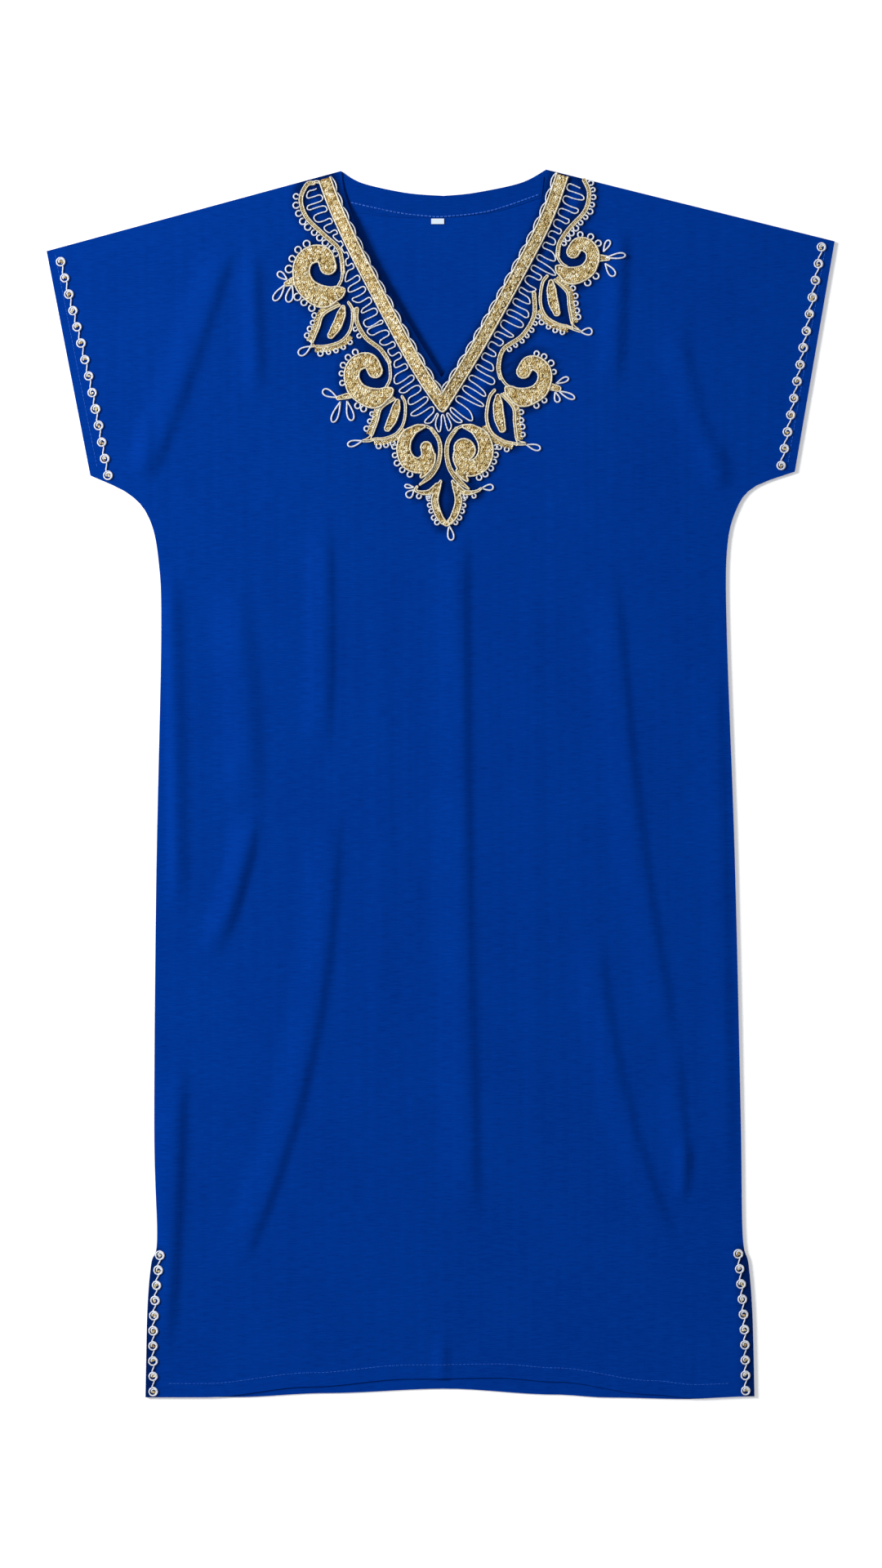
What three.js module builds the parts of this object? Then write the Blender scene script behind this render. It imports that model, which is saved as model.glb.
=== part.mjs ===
import * as THREE from 'three';
import { mergeVertices } from 'three/addons/utils/BufferGeometryUtils.js';

// A V-neck abaya of crepe, laid flat on its back, in millimetres.
// x runs across to the viewer's right, `down` runs from the top of the shoulders to the hem.
// The part's +Y points to the neck and +Z off the surface that the cloth lies on.

// Driving sizes
const garmentLength = 1250;
const wall = 1.2;
const seamGap = 0.3;
const frontRest = wall + seamGap;

// Colours and surfaces
const crepe = { color: 0x01348b, roughness: 0.62, metalness: 0 };
const crepeInside = { color: 0x012a78, roughness: 0.7, metalness: 0 };
const goldThread = { color: 0xc9a75a, roughness: 0.45, metalness: 0.35 };
const paleCord = { color: 0xd8cba0, roughness: 0.5, metalness: 0.2 };
const labelCloth = { color: 0xf2f2ee, roughness: 0.8, metalness: 0 };

// Side seams, from the hem corner up to the lower corner of the cuff
const leftSide = [
  { at: 'hem corner', x: -300, down: 1248 },
  { at: 'slit', x: -298, down: 1160 },
  { at: 'slit flare', x: -294, down: 1112 },
  { at: 'slit top', x: -288, down: 1086 },
  { at: 'hip', x: -291, down: 973 },
  { at: 'seat', x: -289, down: 720 },
  { at: 'waist', x: -284, down: 475 },
  { at: 'under the arm', x: -287, down: 395 },
  { at: 'armpit', x: -297, down: 353 },
  { at: 'sleeve seam', x: -318, down: 329 },
  { at: 'cuff corner', x: -356, down: 311 },
];
const rightSide = [
  { at: 'hem corner', x: 319, down: 1247 },
  { at: 'slit', x: 317, down: 1165 },
  { at: 'slit flare', x: 313, down: 1113 },
  { at: 'slit top', x: 307, down: 1082 },
  { at: 'hip', x: 305, down: 960 },
  { at: 'seat', x: 299, down: 700 },
  { at: 'waist', x: 291, down: 475 },
  { at: 'under the arm', x: 291, down: 388 },
  { at: 'armpit', x: 300, down: 347 },
  { at: 'sleeve seam', x: 318, down: 323 },
  { at: 'cuff corner', x: 360, down: 307 },
];
const sleeveTip = { left: { x: -400.5, down: 83 }, right: { x: 400.5, down: 73 } };
const neckPoint = { left: { x: -101, down: 1.5 }, right: { x: 107, down: 0 } };

// Neck edges, from the middle out to the neck points
const vTip = { x: 1, down: 212 };
const vLeft = [
  vTip,
  { x: -42, down: 141 },
  { x: -76, down: 79 },
  { x: -96, down: 30 },
  neckPoint.left,
];
const vRight = [
  vTip,
  { x: 48, down: 141 },
  { x: 82, down: 77 },
  { x: 102, down: 32 },
  neckPoint.right,
];
const backNeckLow = { x: 3, down: 26.5 };
const backNeckLeft = [backNeckLow, { x: -35, down: 23.5 }, { x: -80, down: 13.5 }, neckPoint.left];
const backNeckRight = [backNeckLow, { x: 34, down: 23.5 }, { x: 81, down: 13.5 }, neckPoint.right];

// Hems, left to right: the front hem rises in the middle and shows the back one below it
const frontHem = [
  { x: -300, down: 1248 },
  { x: -240, down: 1248 },
  { x: -132, down: 1237 },
  { x: -31, down: 1229 },
  { x: 58, down: 1228 },
  { x: 117, down: 1232 },
  { x: 216, down: 1245 },
  { x: 258, down: 1249 },
  { x: 319, down: 1247 },
];
const backHem = [
  { x: -300, down: 1248 },
  { x: -207, down: 1248 },
  { x: -117, down: 1244 },
  { x: 5, down: 1239.5 },
  { x: 117, down: 1245.5 },
  { x: 170, down: 1248.5 },
  { x: 249, down: 1250 },
  { x: 319, down: 1247 },
];

// Soft folds of the front, each a ridge through three places.
// left and right are the widths of its flanks, fade is how far its ends run out.
const folds = [
  { x: [15, 22, 30], down: [375, 760, 1190], left: 36, right: 19, high: 5, fade: 90 },
  { x: [-126, -118, -123], down: [365, 465, 575], left: 30, right: 18, high: 4, fade: 60 },
  { x: [-116, -122, -218], down: [655, 850, 1135], left: 34, right: 20, high: 5, fade: 80 },
  { x: [-211, -199, -247], down: [500, 671, 815], left: 30, right: 19, high: 5, fade: 60 },
  { x: [-270, -276, -273], down: [470, 790, 1100], left: 11, right: 16, high: 2.6, fade: 60 },
  { x: [-230, -262, -290], down: [92, 195, 305], left: 30, right: 18, high: 4.5, fade: 50 },
  { x: [-186, -182, -180], down: [115, 243, 335], left: 22, right: 15, high: 3, fade: 50 },
  { x: [188, 190, 182], down: [35, 150, 300], left: 20, right: 16, high: 3, fade: 45 },
  { x: [240, 257, 288], down: [125, 209, 335], left: 28, right: 18, high: 4.5, fade: 45 },
  { x: [170, 196, 236], down: [440, 640, 895], left: 34, right: 18, high: 4.5, fade: 70 },
  { x: [157, 178, 228], down: [780, 951, 1115], left: 30, right: 18, high: 3.5, fade: 60 },
  { x: [254, 246, 244], down: [1000, 1080, 1165], left: 24, right: 15, high: 4, fade: 45 },
];

// How the panels are divided: rows up each part of the side, columns from side to middle
const rows = { skirt: 20, armhole: 6, cuff: 8 };
const columns = { front: 20, back: 5 };
const columnCrowding = 1.3;
const middleAtArmhole = 330;

// Embroidery, raised on the front
const cordSection = [
  { out: -1, up: 0 },
  { out: 1, up: 0 },
  { out: 0.7, up: 1 },
  { out: -0.7, up: 1 },
];
const beadSection = [
  { out: -1, up: 0 },
  { out: 1, up: 0 },
  { out: 0, up: 1 },
];
const paddedSection = [
  { out: -1, up: 0 },
  { out: 1, up: 0 },
  { out: 0.86, up: 0.7 },
  { out: 0, up: 1 },
  { out: -0.86, up: 0.7 },
];
const raise = { scroll: 2.6, band: 2.2, leaf: 2.2, border: 1.7, trim: 1.6 };
const borderWidth = 4.6;
const leafEdgeWidth = 3;
const bandWidth = 13;
const bandTip = { x: 1.7, down: 238 };
const bandLeft = [
  { x: -117, down: 12 },
  { x: -104, down: 46 },
  { x: -78, down: 100 },
  { x: -27, down: 195 },
  bandTip,
];
const bandRight = [
  bandTip,
  { x: 41, down: 175 },
  { x: 92, down: 82 },
  { x: 111, down: 42 },
  { x: 123, down: 8 },
];

// One scroll about its centre: turn anticlockwise from +x in degrees, reach, and width there
const scrollForm = [
  { turn: 41, reach: 7.7, wide: 17 },
  { turn: 84, reach: 16, wide: 17.5 },
  { turn: 113, reach: 19.5, wide: 18 },
  { turn: 146, reach: 21.5, wide: 17.5 },
  { turn: 182, reach: 21.5, wide: 17.5 },
  { turn: 223, reach: 22.5, wide: 20 },
  { turn: 268, reach: 25.5, wide: 23 },
  { turn: 300, reach: 26, wide: 15 },
  { turn: 316, reach: 28, wide: 7 },
];
// face is 1 where the scroll opens to the viewer's right and -1 where it opens to the left
const scrolls = [
  { name: 'scroll_left_upper', x: -120, down: 104, size: 1, turn: 0, face: 1 },
  { name: 'scroll_left_lower', x: -71, down: 210, size: 0.9, turn: 8, face: 1 },
  { name: 'scroll_right_lower', x: 88, down: 211, size: 0.84, turn: 13, face: -1 },
  { name: 'scroll_right_upper', x: 138, down: 89, size: 0.78, turn: 14, face: -1 },
];

// Each bottom scroll about its centre, and the cord that closes it and runs out to a point
const bottomForm = [
  { x: 7.5, down: -1, wide: 12 },
  { x: 9, down: 9, wide: 13.5 },
  { x: 1, down: 17.5, wide: 16 },
  { x: -10.5, down: 13.5, wide: 16 },
  { x: -15.5, down: 1.5, wide: 14.5 },
  { x: -12.5, down: -11.5, wide: 13 },
  { x: -3.5, down: -19.5, wide: 8 },
  { x: 5, down: -22, wide: 4 },
];
const hookForm = [
  { x: 12.5, down: -20, wide: 4 },
  { x: 20, down: -9, wide: 4.4 },
  { x: 21.8, down: 3, wide: 4.4 },
  { x: 19, down: 17, wide: 4.8 },
  { x: 11.5, down: 28, wide: 5.5 },
  { x: 1, down: 37, wide: 2.6 },
];
const bottoms = [
  { hand: 'left', x: -22, down: 283.5, size: 1, face: 1 },
  { hand: 'right', x: 29.5, down: 285, size: 1.07, face: -1 },
];

// One leaf hanging from its stem: edge towards the band, outer edge, and the padded core
const leafForm = {
  inner: [
    { x: 3.5, down: 3, wide: leafEdgeWidth },
    { x: 7.5, down: 11, wide: leafEdgeWidth },
    { x: 6, down: 29, wide: leafEdgeWidth },
    { x: -3, down: 41.5, wide: leafEdgeWidth },
    { x: -18, down: 47, wide: leafEdgeWidth },
    { x: -29, down: 47.5, wide: leafEdgeWidth },
  ],
  outer: [
    { x: -6, down: 5.5, wide: leafEdgeWidth },
    { x: -22, down: 15, wide: leafEdgeWidth },
    { x: -27, down: 28, wide: leafEdgeWidth },
    { x: -33, down: 42, wide: leafEdgeWidth },
  ],
  core: [
    { x: -2, down: 8, wide: 5 },
    { x: -4.5, down: 17, wide: 9.5 },
    { x: -8.5, down: 27, wide: 10 },
    { x: -14.5, down: 36.5, wide: 7 },
  ],
};
// slim narrows a leaf across its stem
const leaves = [
  { name: 'leaf_left_upper', x: -97, down: 132.5, size: 1, slim: 1, turn: 0, face: 1 },
  { name: 'leaf_left_lower', x: -42, down: 228, size: 0.97, slim: 0.85, turn: 0, face: 1 },
  { name: 'leaf_right_lower', x: 58.5, down: 222, size: 1.1, slim: 0.8, turn: 12, face: -1 },
  { name: 'leaf_right_upper', x: 112, down: 106, size: 1.05, slim: 0.85, turn: 10, face: -1 },
];

// Border cords beside the ladder stitches, with their own hand-laid curves
const borders = [
  {
    name: 'border_left_upper',
    path: [
      { x: -129, down: 14 },
      { x: -136, down: 16 },
      { x: -142, down: 31 },
      { x: -136, down: 49 },
      { x: -118, down: 67 },
      { x: -103, down: 82 },
      { x: -99, down: 105 },
    ],
  },
  {
    name: 'border_left_lower',
    path: [
      { x: -85, down: 142 },
      { x: -85, down: 155 },
      { x: -76, down: 171 },
      { x: -61, down: 183 },
      { x: -52, down: 196 },
    ],
  },
  {
    name: 'border_right_lower',
    path: [
      { x: 95, down: 126 },
      { x: 95, down: 149 },
      { x: 83, down: 169 },
      { x: 64, down: 183 },
      { x: 59, down: 200 },
      { x: 61, down: 212 },
    ],
  },
  {
    name: 'border_right_upper',
    path: [
      { x: 146, down: 11 },
      { x: 151, down: 24 },
      { x: 147, down: 42 },
      { x: 131, down: 60 },
      { x: 121, down: 75 },
      { x: 119, down: 88 },
    ],
  },
];

// Pendant under the bottom scrolls: a wing and one side of the drop, from its middle
const pendantMiddle = 6.2;
const wingForm = [
  { x: -17.5, down: 327.5, wide: 4.5 },
  { x: -23, down: 329, wide: 4.5 },
  { x: -30, down: 327.5, wide: 3 },
];
const dropForm = [
  { x: -6, down: 317, wide: 3 },
  { x: -9.5, down: 326, wide: 6 },
  { x: -12, down: 337, wide: 7.5 },
  { x: -9, down: 349, wide: 7.5 },
  { x: -3.8, down: 358.5, wide: 5.5 },
];

// Chains of coiled rosettes: start, middle and end of each chain and the number on it
const rosetteWidth = 9.2;
const linkWidth = 2.6;
const chains = [
  { name: 'trim_cuff_left', x: [-386, -358, -338], down: [94, 208, 311], count: 14 },
  { name: 'trim_cuff_right', x: [387, 366, 346], down: [79, 195, 301], count: 14 },
  { name: 'trim_slit_left', x: [-285, -291.5, -292], down: [1103, 1171, 1242], count: 10 },
  { name: 'trim_slit_right', x: [302.5, 308.5, 310], down: [1102, 1175, 1241], count: 10 },
];

// Back-neck facing and the blank label below it
const facingWall = 1;
const facingInset = 1;
const facingTop = [
  { x: -94, down: 9 },
  ...[...backNeckLeft.slice(1, -1).reverse(), backNeckLow, ...backNeckRight.slice(1, -1)]
    .map((p) => ({ x: p.x, down: p.down + facingInset })),
  { x: 99, down: 8 },
];
const facingLow = [
  { x: -87.5, down: 45 },
  { x: -50, down: 50 },
  { x: -10, down: 48 },
  { x: 34, down: 45 },
  { x: 65, down: 40.5 },
  { x: 96.5, down: 31 },
];
const label = { x: -3, down: 52.6, wide: 13, tall: 5.5, thick: 0.6 };

// Curves and small sums
const lerp = (a, b, t) => a + (b - a) * t;
const smooth = (t) => {
  const s = THREE.MathUtils.clamp(t, 0, 1);
  return s * s * (3 - 2 * s);
};
const curveThrough = (places) => new THREE.SplineCurve(places.map((p) => new THREE.Vector2(p.x, p.down)));
const placeOn = (curve, t) => {
  const p = curve.getPoint(t);
  return { x: p.x, down: p.y };
};
const widthOn = (places, t) => {
  const at = t * (places.length - 1);
  const i = Math.min(Math.floor(at), places.length - 2);
  return lerp(places[i].wide, places[i + 1].wide, smooth(at - i));
};
const throughThree = (down, fold) => {
  const [a, b, c] = fold.down;
  const [p, q, r] = fold.x;
  return p * (down - b) * (down - c) / ((a - b) * (a - c))
    + q * (down - a) * (down - c) / ((b - a) * (b - c))
    + r * (down - a) * (down - b) / ((c - a) * (c - b));
};

function hemDown(hem, x) {
  const i = Math.max(1, hem.findIndex((p) => p.x >= x));
  const [a, b] = [hem[i - 1], hem[i]];
  return lerp(a.down, b.down, smooth((x - a.x) / (b.x - a.x)));
}

// Height of the front's soft folds above its rest
function foldHeight(x, down) {
  let height = 0;
  for (const fold of folds) {
    const [start, , end] = fold.down;
    if (down <= start || down >= end) continue;
    const off = x - throughThree(down, fold);
    const flank = off < 0 ? fold.left : fold.right;
    if (Math.abs(off) >= flank) continue;
    const ends = smooth((down - start) / fold.fade) * smooth((end - down) / fold.fade);
    height += fold.high * ends * 0.5 * (1 + Math.cos(Math.PI * off / flank));
  }
  return height;
}

const frontTop = (x, down) => frontRest + wall + foldHeight(x, down);
const toSpace = (place, z) => new THREE.Vector3(place.x, garmentLength / 2 - place.down, z);

// A list of triangles that grows quad by quad and closes into one mesh
class Surface {
  constructor() {
    this.corners = [];
  }
  triangle(a, b, c) {
    this.corners.push(a, b, c);
  }
  quad(a, b, c, d) {
    this.triangle(a, b, c);
    this.triangle(a, c, d);
  }
  geometry() {
    const soup = new THREE.BufferGeometry().setFromPoints(this.corners);
    const merged = mergeVertices(soup, 1e-3);
    merged.computeVertexNormals();
    return merged;
  }
}

// The rows of one half of a panel, each from the side to the middle or the neck edge
function halfRows({ side, tip, neck, hem, count, middle }) {
  const seam = curveThrough(side);
  const neckEdge = curveThrough(neck);
  const cuffCorner = side.at(-1);
  const armpitStart = (side.length - 4) / (side.length - 1);
  const grid = [];
  const addRow = (outer, inner, onHem) => {
    const row = [];
    for (let i = 0; i <= count; i++) {
      const across = (i / count) ** columnCrowding;
      const x = lerp(outer.x, inner.x, across);
      const down = onHem ? hemDown(hem, x) : lerp(outer.down, inner.down, across);
      row.push({ x, down });
    }
    grid.push(row);
  };
  const hemMiddle = { x: middle.x, down: hemDown(hem, middle.x) };
  for (let j = 0; j < rows.skirt; j++) {
    const t = j / rows.skirt;
    const inner = { x: middle.x, down: lerp(hemMiddle.down, middleAtArmhole, t) };
    addRow(placeOn(seam, armpitStart * t), inner, j === 0);
  }
  for (let j = 0; j < rows.armhole; j++) {
    const t = j / rows.armhole;
    const inner = { x: middle.x, down: lerp(middleAtArmhole, middle.down, t) };
    addRow(placeOn(seam, lerp(armpitStart, 1, t)), inner, false);
  }
  for (let j = 0; j <= rows.cuff; j++) {
    const t = j / rows.cuff;
    const outer = { x: lerp(cuffCorner.x, tip.x, t), down: lerp(cuffCorner.down, tip.down, t) };
    addRow(outer, placeOn(neckEdge, t), false);
  }
  return grid;
}

// A panel as a wall between two heights, its halves joined down the middle below the neck
function panel({ hem, necks, count, under, over }) {
  const surface = new Surface();
  const middle = necks.left[0];
  const halves = [
    { side: leftSide, tip: sleeveTip.left, neck: necks.left, flip: false },
    { side: rightSide, tip: sleeveTip.right, neck: necks.right, flip: true },
  ];
  for (const half of halves) {
    const grid = halfRows({ ...half, hem, count, middle });
    const low = grid.map((row) => row.map((p) => toSpace(p, under(p.x, p.down))));
    const high = grid.map((row) => row.map((p) => toSpace(p, over(p.x, p.down))));
    const face = (a, b, c, d) => (half.flip ? surface.quad(d, c, b, a) : surface.quad(a, b, c, d));
    const last = grid.length - 1;
    const neckStart = rows.skirt + rows.armhole;
    for (let j = 0; j < last; j++) {
      for (let i = 0; i < count; i++) {
        face(high[j][i], high[j][i + 1], high[j + 1][i + 1], high[j + 1][i]);
        face(low[j][i], low[j + 1][i], low[j + 1][i + 1], low[j][i + 1]);
      }
      face(low[j][0], high[j][0], high[j + 1][0], low[j + 1][0]);
      if (j >= neckStart) {
        face(low[j][count], low[j + 1][count], high[j + 1][count], high[j][count]);
      }
    }
    for (let i = 0; i < count; i++) {
      face(low[0][i], low[0][i + 1], high[0][i + 1], high[0][i]);
      face(low[last][i], high[last][i], high[last][i + 1], low[last][i + 1]);
    }
  }
  return surface.geometry();
}

// A raised cord or padded shape: a section carried along stations that each have a width
function raisedRibbon(stations, section, high) {
  const surface = new Surface();
  const rings = stations.map((station, i) => {
    const before = stations[Math.max(i - 1, 0)];
    const after = stations[Math.min(i + 1, stations.length - 1)];
    const arriving = new THREE.Vector2(station.x - before.x, station.down - before.down).normalize();
    const leaving = new THREE.Vector2(after.x - station.x, after.down - station.down).normalize();
    const along = arriving.clone().add(leaving).normalize();
    const mitre = 1 / Math.max(0.5, along.dot(arriving.lengthSq() > 0 ? arriving : leaving));
    const half = 0.5 * station.wide * mitre;
    return section.map(({ out, up }) => {
      const place = { x: station.x + along.y * out * half, down: station.down - along.x * out * half };
      return toSpace(place, frontTop(place.x, place.down) + seamGap + up * high);
    });
  });
  const sides = section.length;
  for (let j = 0; j < rings.length - 1; j++) {
    for (let k = 0; k < sides; k++) {
      const next = (k + 1) % sides;
      surface.quad(rings[j][k], rings[j][next], rings[j + 1][next], rings[j + 1][k]);
    }
  }
  for (let k = 1; k < sides - 1; k++) {
    surface.triangle(rings[0][0], rings[0][k + 1], rings[0][k]);
    surface.triangle(rings.at(-1)[0], rings.at(-1)[k], rings.at(-1)[k + 1]);
  }
  return surface.geometry();
}

// Stations along a smooth path, with both ends rounded off
function stationsAlong(places, count) {
  const curve = curveThrough(places);
  const stations = [];
  for (let i = 0; i <= count; i++) {
    stations.push({ ...placeOn(curve, i / count), wide: widthOn(places, i / count) });
  }
  const cap = (end, next) => {
    const away = new THREE.Vector2(end.x - next.x, end.down - next.down).normalize();
    return [{ far: 0.38, wide: 0.65 }, { far: 0.5, wide: 0.14 }].map(({ far, wide }) => ({
      x: end.x + away.x * far * end.wide,
      down: end.down + away.y * far * end.wide,
      wide: end.wide * wide,
    }));
  };
  return [
    ...cap(stations[0], stations[1]).reverse(),
    ...stations,
    ...cap(stations.at(-1), stations.at(-2)),
  ];
}

// Moves a motif's own places to where it is sewn
function placed(motif, places) {
  const angle = THREE.MathUtils.degToRad(motif.turn ?? 0);
  const size = motif.size ?? 1;
  const slim = motif.slim ?? 1;
  return places.map((p) => {
    const x = slim * p.x * Math.cos(angle) + p.down * Math.sin(angle);
    const down = p.down * Math.cos(angle) - slim * p.x * Math.sin(angle);
    return { x: motif.x + motif.face * size * x, down: motif.down + size * down, wide: p.wide * size };
  });
}

const scrollPlaces = scrollForm.map(({ turn, reach, wide }) => {
  const angle = THREE.MathUtils.degToRad(turn);
  return { x: reach * Math.cos(angle), down: -reach * Math.sin(angle), wide };
});

function bandStations() {
  const arm = (places, count, skip) => {
    const curve = curveThrough(places);
    const stations = [];
    for (let i = skip; i <= count; i++) {
      stations.push({ ...placeOn(curve, i / count), wide: bandWidth });
    }
    return stations;
  };
  const perArm = 12;
  return [...arm(bandLeft, perArm, 0), ...arm(bandRight, perArm, 1)];
}

function chainStations(chain) {
  const stations = [];
  const disc = [
    { far: -0.5, wide: linkWidth },
    { far: -0.32, wide: rosetteWidth * 0.78 },
    { far: 0, wide: rosetteWidth },
    { far: 0.32, wide: rosetteWidth * 0.78 },
    { far: 0.5, wide: linkWidth },
  ];
  const curve = curveThrough(chain.x.map((x, i) => ({ x, down: chain.down[i] })));
  const pitch = curve.getLength() / (chain.count - 1);
  for (let n = 0; n < chain.count; n++) {
    const centre = curve.getPointAt(n / (chain.count - 1));
    const along = curve.getTangentAt(n / (chain.count - 1));
    for (const { far, wide } of disc) {
      const step = far * Math.min(rosetteWidth, pitch);
      stations.push({ x: centre.x + along.x * step, down: centre.y + along.y * step, wide });
    }
  }
  return stations;
}

function facing() {
  const surface = new Surface();
  const [top, low] = [curveThrough(facingTop), curveThrough(facingLow)];
  const steps = 20;
  const strip = [];
  for (let i = 0; i <= steps; i++) {
    const edges = [placeOn(low, i / steps), placeOn(top, i / steps)];
    strip.push({
      under: edges.map((p) => toSpace(p, frontRest)),
      over: edges.map((p) => toSpace(p, frontRest + facingWall)),
    });
  }
  for (let i = 0; i < steps; i++) {
    const [a, b] = [strip[i], strip[i + 1]];
    surface.quad(a.over[0], b.over[0], b.over[1], a.over[1]);
    surface.quad(a.under[0], a.under[1], b.under[1], b.under[0]);
    surface.quad(a.under[0], b.under[0], b.over[0], a.over[0]);
    surface.quad(a.under[1], a.over[1], b.over[1], b.under[1]);
  }
  const [first, final] = [strip[0], strip.at(-1)];
  surface.quad(first.under[0], first.over[0], first.over[1], first.under[1]);
  surface.quad(final.under[0], final.under[1], final.over[1], final.over[0]);
  return surface.geometry();
}

const group = new THREE.Group();
function addPiece(name, geometry, finish) {
  const mesh = new THREE.Mesh(geometry, new THREE.MeshStandardMaterial(finish));
  mesh.name = name;
  group.add(mesh);
  return mesh;
}

addPiece('back_panel', panel({
  hem: backHem,
  necks: { left: backNeckLeft, right: backNeckRight },
  count: columns.back,
  under: () => 0,
  over: () => wall,
}), crepeInside);
addPiece('front_panel', panel({
  hem: frontHem,
  necks: { left: vLeft, right: vRight },
  count: columns.front,
  under: (x, down) => frontRest + foldHeight(x, down),
  over: frontTop,
}), crepe);
addPiece('back_neck_facing', facing(), crepe);

const labelMesh = addPiece(
  'neck_label',
  new THREE.BoxGeometry(label.wide, label.tall, label.thick),
  labelCloth,
);
labelMesh.position.copy(toSpace(label, frontRest + label.thick / 2));

addPiece('neck_band', raisedRibbon(bandStations(), cordSection, raise.band), goldThread);
for (const scroll of scrolls) {
  const stations = stationsAlong(placed(scroll, scrollPlaces), 22);
  addPiece(scroll.name, raisedRibbon(stations, paddedSection, raise.scroll), goldThread);
}
for (const leaf of leaves) {
  const { inner, outer, core } = leafForm;
  const edge = (places) => raisedRibbon(stationsAlong(placed(leaf, places), 9), cordSection, raise.border);
  addPiece(`${leaf.name}_inner_edge`, edge(inner), paleCord);
  addPiece(`${leaf.name}_outer_edge`, edge(outer), paleCord);
  const heart = raisedRibbon(stationsAlong(placed(leaf, core), 8), paddedSection, raise.leaf);
  addPiece(`${leaf.name}_core`, heart, goldThread);
}
for (const border of borders) {
  const places = border.path.map((p) => ({ ...p, wide: borderWidth }));
  const cord = raisedRibbon(stationsAlong(places, 3 * places.length), cordSection, raise.border);
  addPiece(border.name, cord, paleCord);
}
for (const bottom of bottoms) {
  const body = raisedRibbon(stationsAlong(placed(bottom, bottomForm), 20), paddedSection, raise.scroll);
  addPiece(`scroll_${bottom.hand}_bottom`, body, goldThread);
  const hook = raisedRibbon(stationsAlong(placed(bottom, hookForm), 14), cordSection, raise.border);
  addPiece(`hook_${bottom.hand}`, hook, paleCord);
  const pendant = { x: pendantMiddle, down: 0, face: bottom.face };
  const wing = raisedRibbon(stationsAlong(placed(pendant, wingForm), 6), paddedSection, raise.leaf);
  addPiece(`pendant_wing_${bottom.hand}`, wing, goldThread);
  const drop = raisedRibbon(stationsAlong(placed(pendant, dropForm), 9), paddedSection, raise.leaf);
  addPiece(`pendant_drop_${bottom.hand}`, drop, goldThread);
}
for (const chain of chains) {
  addPiece(chain.name, raisedRibbon(chainStations(chain), beadSection, raise.trim), paleCord);
}

export default group;
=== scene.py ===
import math
import random
import bpy
import numpy as np
from mathutils import Euler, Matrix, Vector


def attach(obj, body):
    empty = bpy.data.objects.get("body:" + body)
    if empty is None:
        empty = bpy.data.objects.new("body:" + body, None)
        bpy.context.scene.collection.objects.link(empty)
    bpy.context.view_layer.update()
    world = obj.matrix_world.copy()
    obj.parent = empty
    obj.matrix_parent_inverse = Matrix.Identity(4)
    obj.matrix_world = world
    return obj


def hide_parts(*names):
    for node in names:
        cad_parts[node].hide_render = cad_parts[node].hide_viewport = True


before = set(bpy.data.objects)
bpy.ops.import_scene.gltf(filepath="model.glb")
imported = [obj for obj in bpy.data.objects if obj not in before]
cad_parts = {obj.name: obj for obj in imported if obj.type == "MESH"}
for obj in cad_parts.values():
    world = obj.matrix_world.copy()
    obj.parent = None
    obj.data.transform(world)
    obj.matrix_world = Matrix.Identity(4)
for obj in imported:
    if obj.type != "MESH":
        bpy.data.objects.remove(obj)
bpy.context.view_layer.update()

mm = 0.001

# The garment lies face up: x runs to the viewer's right, down runs from the shoulders to the hem,
# up is off the floor, all in millimetres until a place goes to the scene in metres
garment = {"length": 1250, "wall": 1.2, "seamGap": 0.3}
frontRest = garment["wall"] + garment["seamGap"]
frontFlat = frontRest + garment["wall"]


# Camera, lights and floor
view = {"height": 3.0, "photoHeight": 1920, "mmPerPixel": 0.83, "sensor": 36, "aim": (0.0004, 0.0004)}
light = {
    "world": 0.34, "floorGlow": 0.2,
    "key": {"place": (-3.1, 1.36, 2.0), "size": 1.2, "watts": 212},
    "fill": {"place": (1.8, -1.2, 3.0), "size": 2.4, "watts": 19},
}


def linear(hexColour):
    channels = []
    for i in (0, 2, 4):
        c = int(hexColour[i:i + 2], 16) / 255
        channels.append(c / 12.92 if c <= 0.04045 else ((c + 0.055) / 1.055) ** 2.4)
    return (*channels, 1)


def setUpView():
    camera = bpy.data.objects.new("camera", bpy.data.cameras.new("camera"))
    bpy.context.scene.collection.objects.link(camera)
    camera.location = (*view["aim"], view["height"])
    shownHeight = view["photoHeight"] * view["mmPerPixel"] * mm
    camera.data.sensor_width = view["sensor"]
    camera.data.lens = view["sensor"] * (view["height"] - frontFlat * mm) / shownHeight
    bpy.context.scene.camera = camera
    for name in ("key", "fill"):
        lamp = bpy.data.lights.new(name, "AREA")
        lamp.energy = light[name]["watts"]
        lamp.size = light[name]["size"]
        holder = bpy.data.objects.new(name, lamp)
        bpy.context.scene.collection.objects.link(holder)
        holder.location = light[name]["place"]
        holder.rotation_euler = (-Vector(light[name]["place"])).to_track_quat("-Z", "Y").to_euler()
    world = bpy.data.worlds.new("studio")
    world.use_nodes = True
    world.node_tree.nodes["Background"].inputs["Color"].default_value = linear("f4f6fa")
    world.node_tree.nodes["Background"].inputs["Strength"].default_value = light["world"]
    bpy.context.scene.world = world
    bpy.context.scene.view_settings.view_transform = "Standard"


# Materials
def addNode(tree, kind, settings=None, links=None):
    node = tree.nodes.new(kind)
    for name, value in (settings or {}).items():
        if isinstance(name, int) or name in node.inputs:
            node.inputs[name].default_value = value
        else:
            setattr(node, name, value)
    for name, source in (links or {}).items():
        tree.links.new(source, node.inputs[name])
    return node


def newMaterial(name, settings):
    material = bpy.data.materials.new(name)
    material.use_nodes = True
    shader = material.node_tree.nodes["Principled BSDF"]
    for socket, value in settings.items():
        shader.inputs[socket].default_value = value
    return material, material.node_tree, shader


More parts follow.
